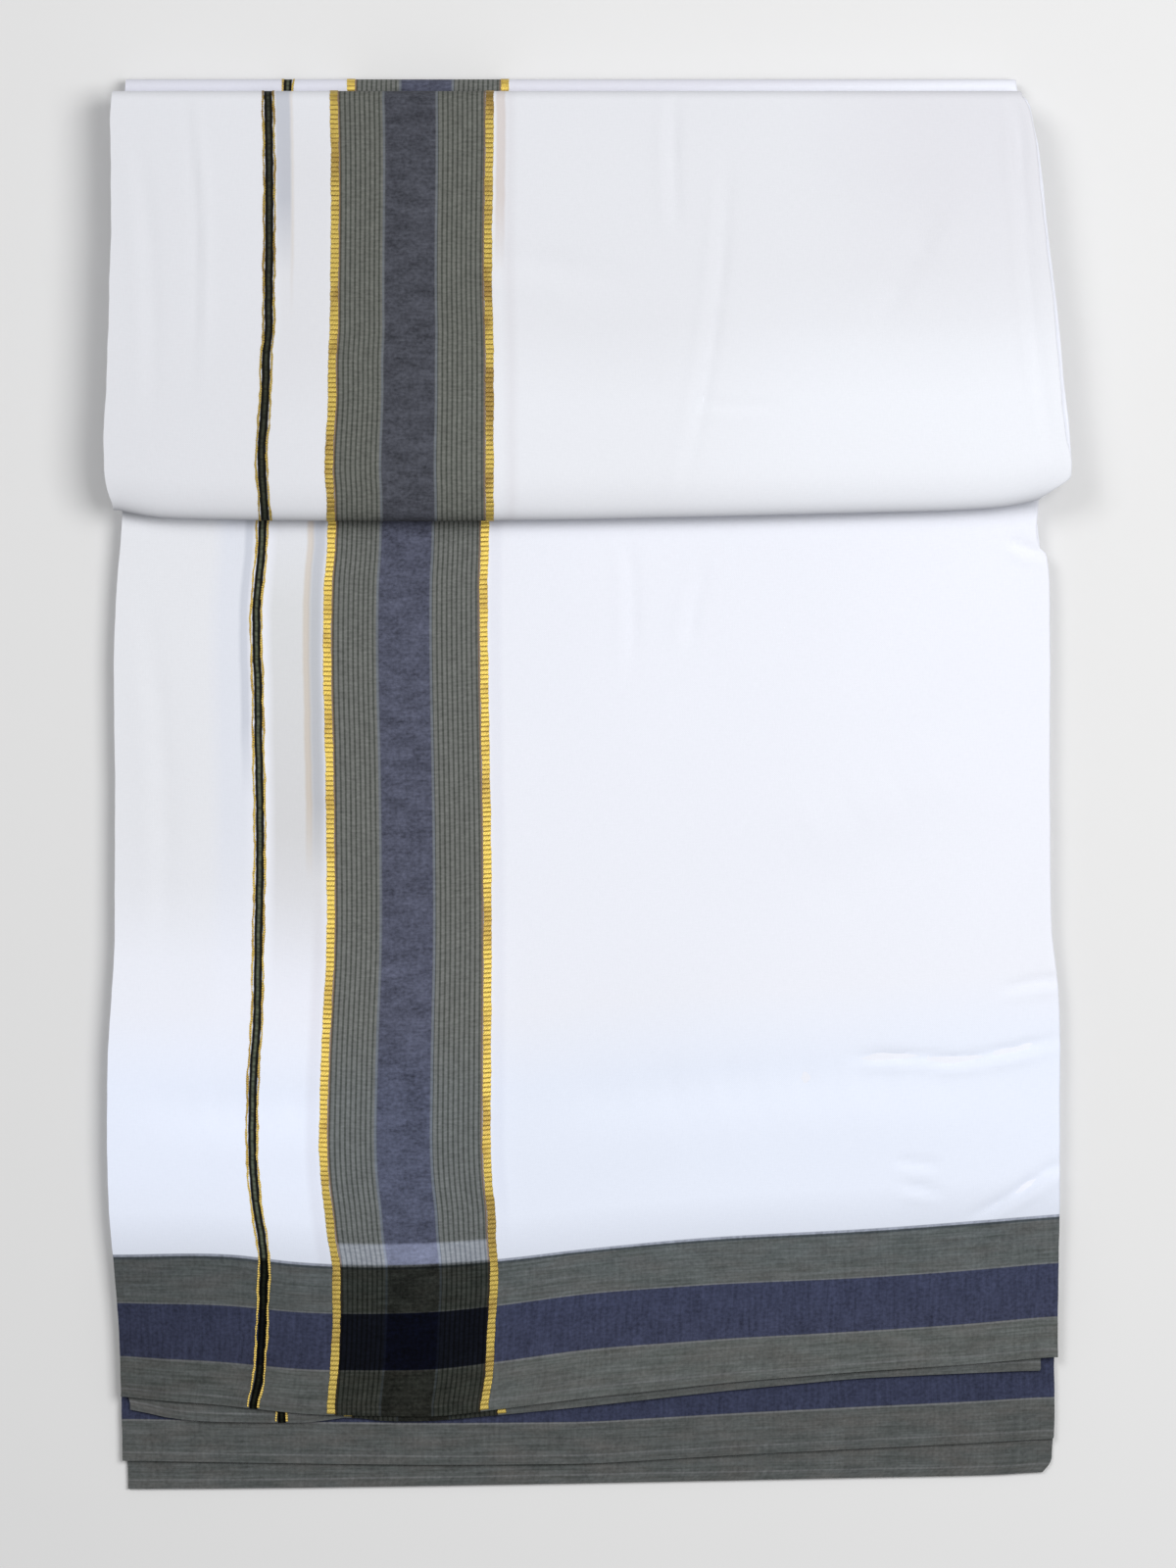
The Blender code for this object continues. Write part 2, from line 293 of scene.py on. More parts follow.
class Outline:
    """Where a leaf's side edges and its near end or near fold are, as its CAD node has them.

    The slices keep a few millimetres off the node's corners, where an edge can't be told from an end.
    """

    corner_margin: float = 9.0
    near_margin: float = 3.0
    far_margin: float = 1.5
    left_margin: float = 1.5
    right_margin: float = 2.5
    rough_slices: int = 30
    side_slices: int = 90
    end_slices: int = 70

    def __init__(self, node: str) -> None:
        """Slices the node along and across."""
        self.cad = CadNode(node)
        self.near, self.far = self.cad.low[1], self.cad.high[1]
        left, right = self.cad.low[0] + self.corner_margin, self.cad.high[0] - self.corner_margin
        rough = self.cad.profile(0, left, right, self.rough_slices, 1, highest=False)
        far = self.far - self.far_margin
        self.left_at, self.right_at = (
            self.cad.profile(1, float(rough(corner)) + self.near_margin, far, self.side_slices, 0, highest)
            for corner, highest in ((left, False), (right, True)))
        left = float(self.left_at(self.near)) + self.left_margin
        right = float(self.right_at(self.near)) - self.right_margin
        self.near_at = self.cad.profile(0, left, right, self.end_slices, 1, highest=False)

    def slanted(self, x: Array, y: Array, reach: float) -> Array:
        """Moves places along the cloth so that the near end keeps its own line.

        Args:
            x: The places across the cloth.
            y: The places along it, as if the near end were straight.
            reach: How far up the cloth the near end's line is felt.

        Returns:
            The true places along the cloth.
        """
        share = np.clip((reach - y) / (reach - self.near), 0.0, 1.0)
        return y + share * (self.near_at(x) - self.near)


class Face:
    """The outer face of a ply that shows: gives any point of it from a place across and a length along."""

    def __init__(self, outline: Outline, section: Section, reach: float,
                 settle: Callable[[Array, Array, Array], Array], creases: Sequence[Crease]) -> None:
        """Keeps the face's outline, section and creases.

        Args:
            outline: The leaf's edges.
            section: The line the face follows.
            reach: How far up the near end's line is felt.
            settle: Gives a point's height from its X, Y and first Z.
            creases: The ply's creases.
        """
        self.outline, self.section, self.reach = outline, section, reach
        self.settle, self.creases = settle, creases

    def place(self, x: Array, length: Array, sink: Array | float = 0.0) -> Array:
        """Gives points of the face.

        Args:
            x: The places across the cloth.
            length: The lengths along the section.
            sink: How far below the face the points lie. Below 0 is above the face.

        Returns:
            The points, with X, Y and Z last.
        """
        x, length, sink = np.broadcast_arrays(x, length, sink)
        y, z, out_y, out_z = self.section.at(length)
        y = self.outline.slanted(x, y, self.reach) - out_y * sink
        z = z - out_z * sink
        top = np.clip(out_z, 0.0, 1.0) ** 2
        z = self.settle(x, y, z) - top * creased(self.creases, x, y)
        return np.stack([x, y, z], axis=-1)

    def edge(self, length: Array, right: bool) -> Array:
        """Gives where the left or right edge is at lengths along the section."""
        edge_at = self.outline.right_at if right else self.outline.left_at
        y = self.section.at(length)[0]
        return edge_at(self.outline.slanted(edge_at(y) * 0.97, y, self.reach))


# ---------------------------------------------------------------- meshes


def new_grid(name: str, columns: int, rows: int) -> tuple[bpy.types.Object, Array, Array]:
    """Adds a flat grid and tells which column and row each of its points is in.

    Args:
        name: The piece's name.
        columns: How many points across.
        rows: How many points along.

    Returns:
        The piece, and each point's column and row.
    """
    bpy.ops.object.select_all(action="DESELECT")
    bpy.ops.mesh.primitive_grid_add(x_subdivisions=columns - 1, y_subdivisions=rows - 1, size=1.0,
                                    calc_uvs=False, location=(0.0, 0.0, 0.0))
    piece = bpy.context.object
    piece.name = piece.data.name = name
    flat = np.zeros(len(piece.data.vertices) * 3)
    piece.data.vertices.foreach_get("co", flat)
    flat = flat.reshape(-1, 3)
    column = np.rint((flat[:, 0] + 0.5) * (columns - 1)).astype(int)
    row = np.rint((flat[:, 1] + 0.5) * (rows - 1)).astype(int)
    return piece, column, row


def shape_sheet(name: str, points: Array, cloth: Array, thickness: float, offset: float = -1.0
                ) -> bpy.types.Object:
    """Makes a sheet from a grid of points, and gives it a thickness.

    Args:
        name: The piece's name.
        points: The face's points in millimetres, by row and column.
        cloth: Where each point is on the flat cloth: across and along, in millimetres.
        thickness: The sheet's thickness in millimetres.
        offset: Where the thickness goes: -1 is inwards and 0 to both sides.

    Returns:
        The finished piece, with a UV map in metres of cloth.
    """
    rows, columns = points.shape[:2]
    piece, column, row = new_grid(name, columns, rows)
    mesh = piece.data
    mesh.vertices.foreach_set("co", (points[row, column] * MM).ravel())
    corners = np.zeros(len(mesh.loops), np.int32)
    mesh.loops.foreach_get("vertex_index", corners)
    layer = mesh.uv_layers.new(name=UV_NAME)
    layer.data.foreach_set("uv", (cloth[row, column] * MM)[corners].ravel())
    mesh.update()
    solid = piece.modifiers.new("thickness", "SOLIDIFY")
    solid.thickness = thickness * MM
    solid.offset = offset
    solid.use_even_offset = False
    bpy.ops.object.modifier_apply(modifier=solid.name)
    bpy.ops.object.shade_smooth_by_angle(angle=math.radians(50))
    return piece


# ---------------------------------------------------------------- the woven pattern


@dataclass(frozen=True)
class BorderWeave:
    """Where the woven lines lie on the flat cloth, in millimetres from its side edge or cut end."""

    cloth_width: float = 1270.0
    strip_width: float = 317.5
    thin_line: float = 52.8
    thin_half: float = 1.45
    thin_centre_half: float = 0.42
    gold_left: float = 74.75
    gold_right: float = 127.2
    gold_half: float = 1.55
    grey_left: float = 76.4
    edge_left: float = 91.1
    blue_left: float = 91.9
    blue_right: float = 109.0
    edge_right: float = 109.8
    grey_right: float = 125.5
    pin_pitch: float = 1.65
    end_grey: float = 13.7
    end_blue_start: float = 14.1
    end_blue_end: float = 32.2
    end_grey_top: float = 46.9
    end_dark_top: float = 47.7
    end_top: float = 48.5


WEAVE = BorderWeave()


def cloth_across(face_x: Array, rows: Sequence[Row], y: Array, left: Array, right: Array) -> Array:
    """Turns places across a ply into places across the flat cloth, through its woven lines.

    Args:
        face_x: The places across the ply.
        rows: Where the ply's woven lines lie.
        y: The places along the ply.
        left: The ply's left edge there.
        right: The ply's right edge there.

    Returns:
        The distance from the cloth's side edge, in millimetres.
    """
    marks = [left, read_rows(rows, "thin_line", y), read_rows(rows, "band_left", y),
             read_rows(rows, "band_right", y), right]
    values = [0.0, WEAVE.thin_line, WEAVE.gold_left, WEAVE.gold_right, WEAVE.strip_width]
    result = np.zeros(np.broadcast(face_x, y).shape)
    for n in range(4):
        share = (face_x - marks[n]) / (marks[n + 1] - marks[n])
        piece = values[n] + (values[n + 1] - values[n]) * share
        inside = share >= 0 if n else np.ones(result.shape, bool)
        result = np.where(inside, piece, result)
    return result


# ---------------------------------------------------------------- shader writing


class Wire:
    """A socket's output that can be used in sums. Each operator adds a Math node."""

    def __init__(self, shader: "Shader", socket: bpy.types.NodeSocket) -> None:
        """Keeps the socket and the shader it belongs to."""
        self.shader, self.socket = shader, socket

    def _math(self, operation: str, *values: object) -> "Wire":
        """Adds a Math node of an operation."""
        return self.shader.node("ShaderNodeMath", {"operation": operation}, dict(enumerate(values)))

    def __add__(self, other: object) -> "Wire":
        """Adds."""
        return self._math("ADD", self, other)

    __radd__ = __add__

    def __sub__(self, other: object) -> "Wire":
        """Subtracts."""
        return self._math("SUBTRACT", self, other)

    def __rsub__(self, other: object) -> "Wire":
        """Subtracts from a number."""
        return self._math("SUBTRACT", other, self)

    def __mul__(self, other: object) -> "Wire":
        """Multiplies."""
        return self._math("MULTIPLY", self, other)

    __rmul__ = __mul__

    def __truediv__(self, other: object) -> "Wire":
        """Divides."""
        return self._math("DIVIDE", self, other)

    def least(self, other: object) -> "Wire":
        """The smaller of two."""
        return self._math("MINIMUM", self, other)

    def clamped(self) -> "Wire":
        """Keeps it from 0 to 1."""
        return self.shader.node("ShaderNodeClamp", {}, {"Value": self})

    def sine(self) -> "Wire":
        """Its sine, in radians."""
        return self._math("SINE", self)

    def size(self) -> "Wire":
        """Its distance from 0."""
        return self._math("ABSOLUTE", self)

    def between(self, start: float, end: float, soft: float) -> "Wire":
        """1 between two places, with soft edges."""
        rise = ((self - start) / soft + 0.5).clamped()
        return rise * ((end - self) / soft + 0.5).clamped()


class Shader:
    """A material under construction: adds nodes and joins them."""

    def __init__(self, name: str) -> None:
        """Starts a material with a Principled shader."""
        self.material = bpy.data.materials.new(name)
        self.material.use_nodes = True
        self.tree = self.material.node_tree
        self.principled = self.tree.nodes["Principled BSDF"]

    def node(self, kind: str, settings: dict, inputs: dict, output: int | str = 0) -> Wire:
        """Adds a node.

        Args:
            kind: The node's type.
            settings: Its settings.
            inputs: A value or a wire for each input, by name or number.
            output: The output to give back.

        Returns:
            The output, as a wire.
        """
        node = self.tree.nodes.new(kind)
        for name, value in settings.items():
            setattr(node, name, value)
        for name, value in inputs.items():
            self.feed(node.inputs[name], value)
        return Wire(self, node.outputs[output])

    def feed(self, socket: bpy.types.NodeSocket, value: object) -> None:
        """Joins a wire to an input, or sets its value."""
        if isinstance(value, Wire):
            self.tree.links.new(value.socket, socket)
        elif isinstance(value, tuple) and socket.type == "RGBA":
            socket.default_value = (*value, 1.0)
        else:
            socket.default_value = value

    def set(self, **values: object) -> None:
        """Sets inputs of the Principled shader. An underscore stands for a space."""
        for name, value in values.items():
            self.feed(self.principled.inputs[name.replace("_", " ")], value)

    def blend(self, share: object, first: object, second: object, kind: str = "MIX") -> Wire:
        """Mixes two colours.

        Args:
            share: How much of the second, from 0 to 1.
            first: The first colour.
            second: The second colour.
            kind: How they are mixed.

        Returns:
            The mixed colour.
        """
        return self.node("ShaderNodeMix", {"data_type": "RGBA", "blend_type": kind},
                         {0: share, 6: first, 7: second}, 2)

    def tinted(self, share: object, colour: Wire, tint: Colour) -> Wire:
        """Multiplies a share of a colour by a tint."""
        return self.blend(share, colour, self.blend(1.0, colour, tint, "MULTIPLY"))

    def tone(self, colour: object, level: Wire) -> Wire:
        """Makes a colour lighter or darker by a level."""
        grey = self.node("ShaderNodeCombineColor", {}, {0: level, 1: level, 2: level})
        return self.blend(1.0, colour, grey, "MULTIPLY")

    def noise(self, across: object, along: object, detail: float = 2.0, seed: float = 0.0) -> Wire:
        """A flat noise of about 0 to 1 at two scaled places."""
        place = self.node("ShaderNodeCombineXYZ", {}, {0: across, 1: along, 2: seed})
        return self.node("ShaderNodeTexNoise", {"noise_dimensions": "3D"},
                         {"Vector": place, "Scale": 1.0, "Detail": detail, "Roughness": 0.55})

    def cloth_place(self) -> tuple[Wire, Wire]:
        """Gives the places across and along the flat cloth, in millimetres, from the UV map."""
        place = self.node("ShaderNodeUVMap", {"uv_map": UV_NAME}, {})
        across, along = (self.node("ShaderNodeSeparateXYZ", {}, {0: place}, axis) for axis in (0, 1))
        return across * 1000.0, along * 1000.0


# ---------------------------------------------------------------- finishes


class Tint(NamedTuple):
    """A faint tint of a stretch of the cloth, mostly where the ply below shows through, and in places
    painted
    light and shade, marked in the tables: its place across, its stretch along, its colour and how softly
    its sides and its ends fade."""

    start: float
    end: float
    along_start: float
    along_end: float
    colour: Colour
    soft: float = 0.8
    end_soft: float = 26.0


BUNDLE_TINTS_AND_PAINTED_LIGHT = (
    Tint(55.2, 60.1, 1135.0, 1400.0, (0.72, 0.735, 0.77)),
    Tint(60.1, 61.0, 1120.0, 1400.0, (0.93, 0.89, 0.84)),
    Tint(129.6, 132.8, 1135.0, 1400.0, (0.88, 0.81, 0.76)),
    Tint(132.8, 136.0, 900.0, 1400.0, (0.95, 0.94, 0.94), 3.0),
    Tint(56.5, 73.0, 1085.0, 1170.0, (0.965, 0.96, 0.955), 2.5),
    # Painted shade: the plain white at the far right of the bundle is darker.
    Tint(255.0, 345.0, 1125.0, 1400.0, (0.955, 0.945, 0.95), 45.0, 60.0),
    # Painted light: the bundle's plain white is brighter towards its near fold, most on the right.
    Tint(100.0, 330.0, 1045.0, 1092.0, (1.06, 1.065, 1.07), 40.0),
    Tint(210.0, 345.0, 1030.0, 1110.0, (1.035, 1.04, 1.045), 50.0),
)
TAIL_TINTS_AND_PAINTED_LIGHT = (
    Tint(46.6, 49.8, 215.0, 330.0, (0.80, 0.81, 0.83), 1.4),
    Tint(67.2, 69.2, 190.0, 330.0, (0.91, 0.83, 0.74)),
    Tint(69.2, 73.2, 190.0, 330.0, (0.74, 0.755, 0.79), 1.6),
    Tint(56.5, 73.0, 165.0, 295.0, (0.85, 0.845, 0.80), 3.0, 55.0),
    Tint(56.5, 73.0, 150.0, 235.0, (0.95, 0.94, 0.94), 3.0, 60.0),
    Tint(-30.0, 37.0, 155.0, 345.0, (0.955, 0.95, 0.92), 6.0, 75.0),
    # Painted shade: the white of the tail's far fold, beside the bundle, is darker.
    Tint(-30.0, 74.0, 432.0, 600.0, (0.86, 0.85, 0.87), 3.0, 6.0),
    Tint(128.0, 345.0, 432.0, 600.0, (0.87, 0.855, 0.87), 3.0, 6.0),
    Tint(69.5, 73.2, 45.0, 165.0, (0.93, 0.92, 0.92), 2.0),
    Tint(37.0, 50.0, 165.0, 345.0, (0.91, 0.92, 0.925), 6.0, 60.0),
    Tint(-30.0, 345.0, 30.0, 118.0, (0.965, 1.0, 1.045), 5.0),
    # Painted light: the white of the tail's left half is lighter towards its near end.
    Tint(-30.0, 125.0, 62.0, 160.0, (1.055, 1.06, 1.075), 30.0),
    Tint(129.0, 133.0, 60.0, 400.0, (0.95, 0.95, 0.96), 2.0),
)


class ClothPlaces:
    """Where a point is on the flat cloth, in millimetres, and the noises that the patterns share."""

    def __init__(self, shader: Shader) -> None:
        """Reads the UV map and adds the shared noises."""
        self.across, self.along = across, along = shader.cloth_place()
        self.side = across.least(WEAVE.cloth_width - across)
        self.drifted = self.side + (shader.noise(across * 0.02, along * 0.11, 2.0, 3.0) - 0.5) * 0.7
        self.warp = shader.noise(across * 0.9, along * 0.09, 3.0, 11.0)
        self.weft = shader.noise(across * 0.27, along * 1.15, 4.0, 7.0)
        self.slub = shader.noise(across * 0.11, along * 0.22, 3.0, 9.0)
        self.denim = shader.noise(across * 0.75, along * 0.95, 4.0, 15.0)
        self.in_band = self.side.between(WEAVE.grey_left, WEAVE.grey_right, 0.3)
        self.in_blue = self.side.between(WEAVE.blue_left, WEAVE.blue_right, 0.4)


@dataclass(frozen=True)
class CottonFinish:
    """Fine plain-woven cotton with its woven side border and end border."""

    name: str
    white: Colour = (0.805, 0.822, 0.892)
    side_light: Colour = (0.215, 0.215, 0.19)
    side_dark: Colour = (0.075, 0.082, 0.066)
    side_blue: Colour = (0.098, 0.103, 0.137)
    side_edge_blue: Colour = (0.185, 0.20, 0.215)
    end_light: Colour = (0.155, 0.164, 0.150)
    end_dark: Colour = (0.095, 0.104, 0.090)
    end_warm: Colour = (0.140, 0.126, 0.110)
    end_blue: Colour = (0.052, 0.058, 0.096)
    end_line: Colour = (0.205, 0.205, 0.195)
    end_dark_line: Colour = (0.075, 0.085, 0.085)
    end_top_line: Colour = (0.40, 0.41, 0.44)
    black: Colour = (0.010, 0.010, 0.008)
    thin_centre: Colour = (0.15, 0.165, 0.10)
    brown: Colour = (0.16, 0.075, 0.015)
    pale: Colour = (0.55, 0.57, 0.70)
    pale_width: float = 7.0
    has_end: bool = False
    end_side_shade: float = 0.0
    end_side_reach: float = 140.0
    border_painted_shade: float = 0.13
    border_shade_reach: float = 14.0
    fold_at: float = 0.0
    fold_reach: float = 7.5
    fold_shade: float = 0.28
    contact_from: float = 0.0
    contact_reach: float = 4.4
    contact_until: float = 110.0
    contact_shade: float = 0.26
    thread_pitch: float = 0.62
    tints_and_painted_light: tuple[Tint, ...] = ()

    def side_border(self, s: Shader, at: ClothPlaces) -> Wire:
        """Gives the colour of the side border, which is 1 where the cloth is white.

        Args:
            s: The material under construction.
            at: The places on the cloth.

        Returns:
            The colour that the white is multiplied by.
        """
        pins = ((at.side - WEAVE.grey_left) * (2 * math.pi / WEAVE.pin_pitch) + math.pi).sine()
        pins = (pins * 1.7 + 1.15).clamped()
        broken = (s.noise(at.across * 0.9, at.along * 1.3, 2.0, 5.0) * 2.6 - 0.8).clamped()
        colour = s.blend(pins * 0.72 + broken * 0.28, self.side_dark, self.side_light)
        for start, end in ((WEAVE.edge_left, WEAVE.blue_left), (WEAVE.blue_right, WEAVE.edge_right)):
            colour = s.blend(at.side.between(start, end, 0.3) * 0.9, colour, self.side_edge_blue)
        colour = s.blend(at.in_blue, colour, self.side_blue)
        colour = s.blend(at.in_band, WHITE, colour)
        for line in (WEAVE.grey_left - 0.1, WEAVE.grey_right + 0.1):
            colour = s.blend(at.side.between(line - 0.35, line + 0.35, 0.3) * 0.8, colour, self.brown)
        line, half, centre_half = WEAVE.thin_line, WEAVE.thin_half, WEAVE.thin_centre_half
        frayed = at.drifted + (s.noise(at.across * 0.45, at.along * 0.42, 3.0, 13.0) - 0.5) * 0.55
        colour = s.blend(frayed.between(line - half, line + half, 0.35), colour, self.black)
        centre = at.drifted.between(line - centre_half, line + centre_half, 0.5)
        colour = s.blend(centre * (at.weft * 2.6 - 0.6).clamped(), colour, self.thin_centre)
        mottle = ((at.weft - 0.5) * (0.9 - at.in_blue * 0.1) + (at.slub - 0.5) * (at.in_blue + 0.25)
                  + (at.denim - 0.5) * at.in_blue * 1.45)
        specks = (s.noise(at.across * 0.28, at.along * 0.95, 4.0, 17.0) * 6.0 - 3.8).clamped() * 0.3
        colour = s.blend(specks * at.in_blue, colour, self.side_edge_blue)
        return s.tone(colour, 1.0 + at.in_band * (mottle + (at.warp - 0.5) * 0.3))

    def cut_end(self, s: Shader, at: ClothPlaces, colour: Wire) -> Wire:
        """Weaves the end border over the side border.

        Args:
            s: The material under construction.
            at: The places on the cloth.
            colour: The side border's colour.

        Returns:
            The colour with the end border, darker where the two cross, with painted shade just above the
            border and the pale band above it.
        """
        threads = s.noise(at.across * 0.05, at.along * 1.2, 4.0, 31.0) * 2.9 - 0.95
        end = s.blend(threads.clamped(), self.end_dark, self.end_light)
        patchy = s.noise(at.across * 0.05, at.along * 0.16, 3.0, 33.0)
        end = s.blend((patchy * 3.8 - 1.6).clamped() * 0.42, end, self.end_warm)
        for start, share in ((2.6, 0.45), (WEAVE.end_grey - 0.2, 0.75), (WEAVE.end_blue_end - 0.1, 0.75)):
            end = s.blend(at.along.between(start, start + 0.55, 0.3) * share, end, self.end_line)
        in_blue = at.along.between(WEAVE.end_blue_start, WEAVE.end_blue_end, 0.3)
        for mask, paint in (
                (in_blue, self.end_blue),
                (at.along.between(WEAVE.end_grey_top, WEAVE.end_dark_top, 0.3), self.end_dark_line),
                (at.along.between(WEAVE.end_dark_top, WEAVE.end_top, 0.3), self.end_top_line)):
            end = s.blend(mask, end, paint)
        near_side = (at.across / self.end_side_reach).clamped() * self.end_side_shade
        near_side = near_side + (1.0 - self.end_side_shade)
        end = s.tone(end, near_side * (1.0 + (at.warp - 0.5) * (0.5 + in_blue * 0.45)
                                       + (at.slub - 0.5) * 0.6 + (at.denim - 0.5) * (0.85 + in_blue * 0.45)))
        in_end = at.along.between(-20.0, WEAVE.end_top, 0.3)
        end = s.blend(in_end, WHITE, end)
        crossing = at.in_band * in_end * (0.75 - in_blue * 1.35) + 1.0
        colour = s.tone(s.blend(1.0, colour, end, "MULTIPLY"), crossing)
        for mask, tint in ((at.in_blue * in_end * (1.0 - in_blue), (1.02, 0.96, 0.62)),
                           ((at.in_band - at.in_blue).clamped() * in_end * in_blue, (1.2, 1.3, 1.5)),
                           (at.in_blue * in_end * in_blue, (0.7, 0.85, 1.3))):
            colour = s.tinted(mask, colour, tint)
        # Painted shade: the white just above the end border's top line is darker.
        hem = 1.0 - ((at.along - WEAVE.end_top).size() / self.border_shade_reach).clamped()
        colour = s.tone(colour, 1.0 - hem * (1.0 - in_end) * self.border_painted_shade)
        pale_band = at.along.between(WEAVE.end_top, WEAVE.end_top + self.pale_width, 0.9) * at.in_band
        colour = s.tone(colour, pale_band * 0.93 + 1.0)
        return s.blend(pale_band * 0.20, colour, self.pale)

    def shaded(self, s: Shader, at: ClothPlaces, colour: Wire) -> Wire:
        """Paints shade into the colour beside a fold, and where another ply lies close over the cloth.

        Args:
            s: The material under construction.
            at: The places on the cloth.
            colour: The colour so far.

        Returns:
            The colour with painted shade.
        """
        # Painted shade on the bundle's cloth at its near fold's tip.
        if self.fold_at:
            nearness = 1.0 - ((at.along - self.fold_at).size() / self.fold_reach).clamped()
            colour = s.tone(colour, 1.0 - nearness * nearness * self.fold_shade)
        # Painted shade on the tail, under the bundle's near fold.
        if self.contact_from:
            # The line of the near fold that lies on the cloth bows away from the middle, more on the right.
            spot = s.node("ShaderNodeTexCoord", {}, {}, "Object")
            lie = s.node("ShaderNodeSeparateXYZ", {}, {0: spot}, 1) * 1000.0
            lie_x = s.node("ShaderNodeSeparateXYZ", {}, {0: spot}) * 10.0
            bend = lie_x * lie_x * ((lie_x * 2.0 + 0.5).clamped() * 1.2 + 1.0)
            under = ((lie - bend - self.contact_from) / self.contact_reach).clamped()
            open_again = ((lie - self.contact_until) / 20.0).clamped()
            colour = s.tone(colour, 1.0 - under * under * (1.0 - open_again) * self.contact_shade)
        return colour

    def build(self) -> bpy.types.Material:
        """Makes the material.

        Returns:
            The cotton, which reads the piece's own UV map.
        """
        s = Shader(self.name)
        at = ClothPlaces(s)
        colour = self.side_border(s, at)
        if self.has_end:
            colour = self.cut_end(s, at, colour)
        # Some of these tints are painted light and painted shade.
        for tint in self.tints_and_painted_light:
            mask = at.drifted.between(tint.start, tint.end, tint.soft)
            mask = mask * at.along.between(tint.along_start, tint.along_end, tint.end_soft)
            colour = s.tinted(mask, colour, tint.colour)
        colour = s.blend(1.0, colour, self.white, "MULTIPLY")
        colour = self.shaded(s, at, colour)
        across, along = at.across, at.along
        cloudy = s.noise(across * 0.012, along * 0.012, 2.0, 21.0)
        fine = s.noise(across * 2.2, along * 0.35, 2.0, 23.0)
        fine = fine + s.noise(across * 0.35, along * 2.2, 2.0, 25.0)
        colour = s.tone(colour, (cloudy - 0.5) * 0.035 + (fine - 1.0) * 0.045 + 1.0)
        turns = 2 * math.pi / self.thread_pitch
        threads = (across * turns).sine() * (along * turns).sine()
        height = threads * 0.35 + fine * 0.9 + at.weft * at.in_band * 0.8
        bump = s.node("ShaderNodeBump", {}, {"Strength": 0.22, "Distance": 0.0001, "Height": height})
        s.set(Base_Color=colour, Roughness=0.9, Normal=bump, Sheen_Weight=0.02, Sheen_Roughness=0.5,
              Specular_IOR_Level=0.06)
        return s.material


@dataclass(frozen=True)
class ZariFinish:
    """Gold metallic thread, ribbed, with painted shade in the grooves between its ribs, duller in places and
    plainer towards the cloth's end.
    """

    name: str = "gold_thread"
    bright: Colour = (0.90, 0.66, 0.135)
    dull: Colour = (0.42, 0.25, 0.05)
    pale: Colour = (0.60, 0.42, 0.10)
    groove_shade: Colour = (0.30, 0.18, 0.03)
    level: float = 0.84
    end_level: float = 0.84
    plain_end: float = -60.0
    wear: float = 0.85
    thin_until: float = 60.0
    twist_pitch: float = 0.5

    def build(self) -> bpy.types.Material:
        """Makes the material, which reads the ribbon's own UV map."""
        s = Shader(self.name)
        across, along = s.cloth_place()
        worn = (s.noise(across * 0.05, along * 0.075, 3.0, 2.0) * 6.5 - 3.1).clamped()
        past_end = ((along - self.plain_end) / 25.0).clamped()
        ribbed = (s.noise(across * 0.05, along * 0.05, 3.0, 6.0) * 2.6 - 0.6).clamped() * past_end
        wide_groove = 1.0 - (along * (math.pi / WIDE_RIB.pitch) - 0.1).sine().size()
        thin_groove = 1.0 - (along * (math.pi / THIN_RIB.pitch)).sine().size()
        fleck = s.noise(across * 1.2, along * 1.4, 2.0, 4.0)
        thin = (self.thin_until - across).clamped()
        colour = s.blend(thin * 0.65, self.bright, self.pale)
        colour = s.blend(worn * self.wear, colour, self.dull)
        # Painted shade in the grooves between the ribs.
        groove_shade = ((wide_groove * (1.0 - thin) + thin_groove * thin) * 1.6 - 0.5).clamped()
        colour = s.blend(groove_shade * (ribbed * 0.68 + 0.2), colour, self.groove_shade)
        level = past_end * (self.level - self.end_level) + self.end_level
        level = level * (1.0 - thin) + thin * self.level
        colour = s.tone(colour, (fleck * 0.7 + 0.65) * level)
        twist = ((across + along * 0.6) * (2 * math.pi / self.twist_pitch)).sine()
        bump = s.node("ShaderNodeBump", {}, {"Strength": 0.3, "Distance": 0.0001, "Height": twist})
        s.set(Base_Color=colour, Metallic=0.5, Roughness=fleck * 0.2 + 0.34, Normal=bump)
        return s.material


@dataclass(frozen=True)
class FloorFinish:
    """A plain pale surface."""

    name: str = "plain_floor"
    colour: Colour = (0.742, 0.742, 0.742)

    def build(self) -> bpy.types.Material:
        """Makes the material, with a very faint unevenness."""
        s = Shader(self.name)
        place = s.node("ShaderNodeTexCoord", {}, {}, "Object")
        speckle = s.node("ShaderNodeTexNoise", {}, {"Vector": place, "Scale": 30.0, "Detail": 3.0})
        s.set(Base_Color=s.tone(self.colour, speckle * 0.01 + 0.995), Roughness=0.95, Specular_IOR_Level=0.1)
        return s.material


# ---------------------------------------------------------------- leaves


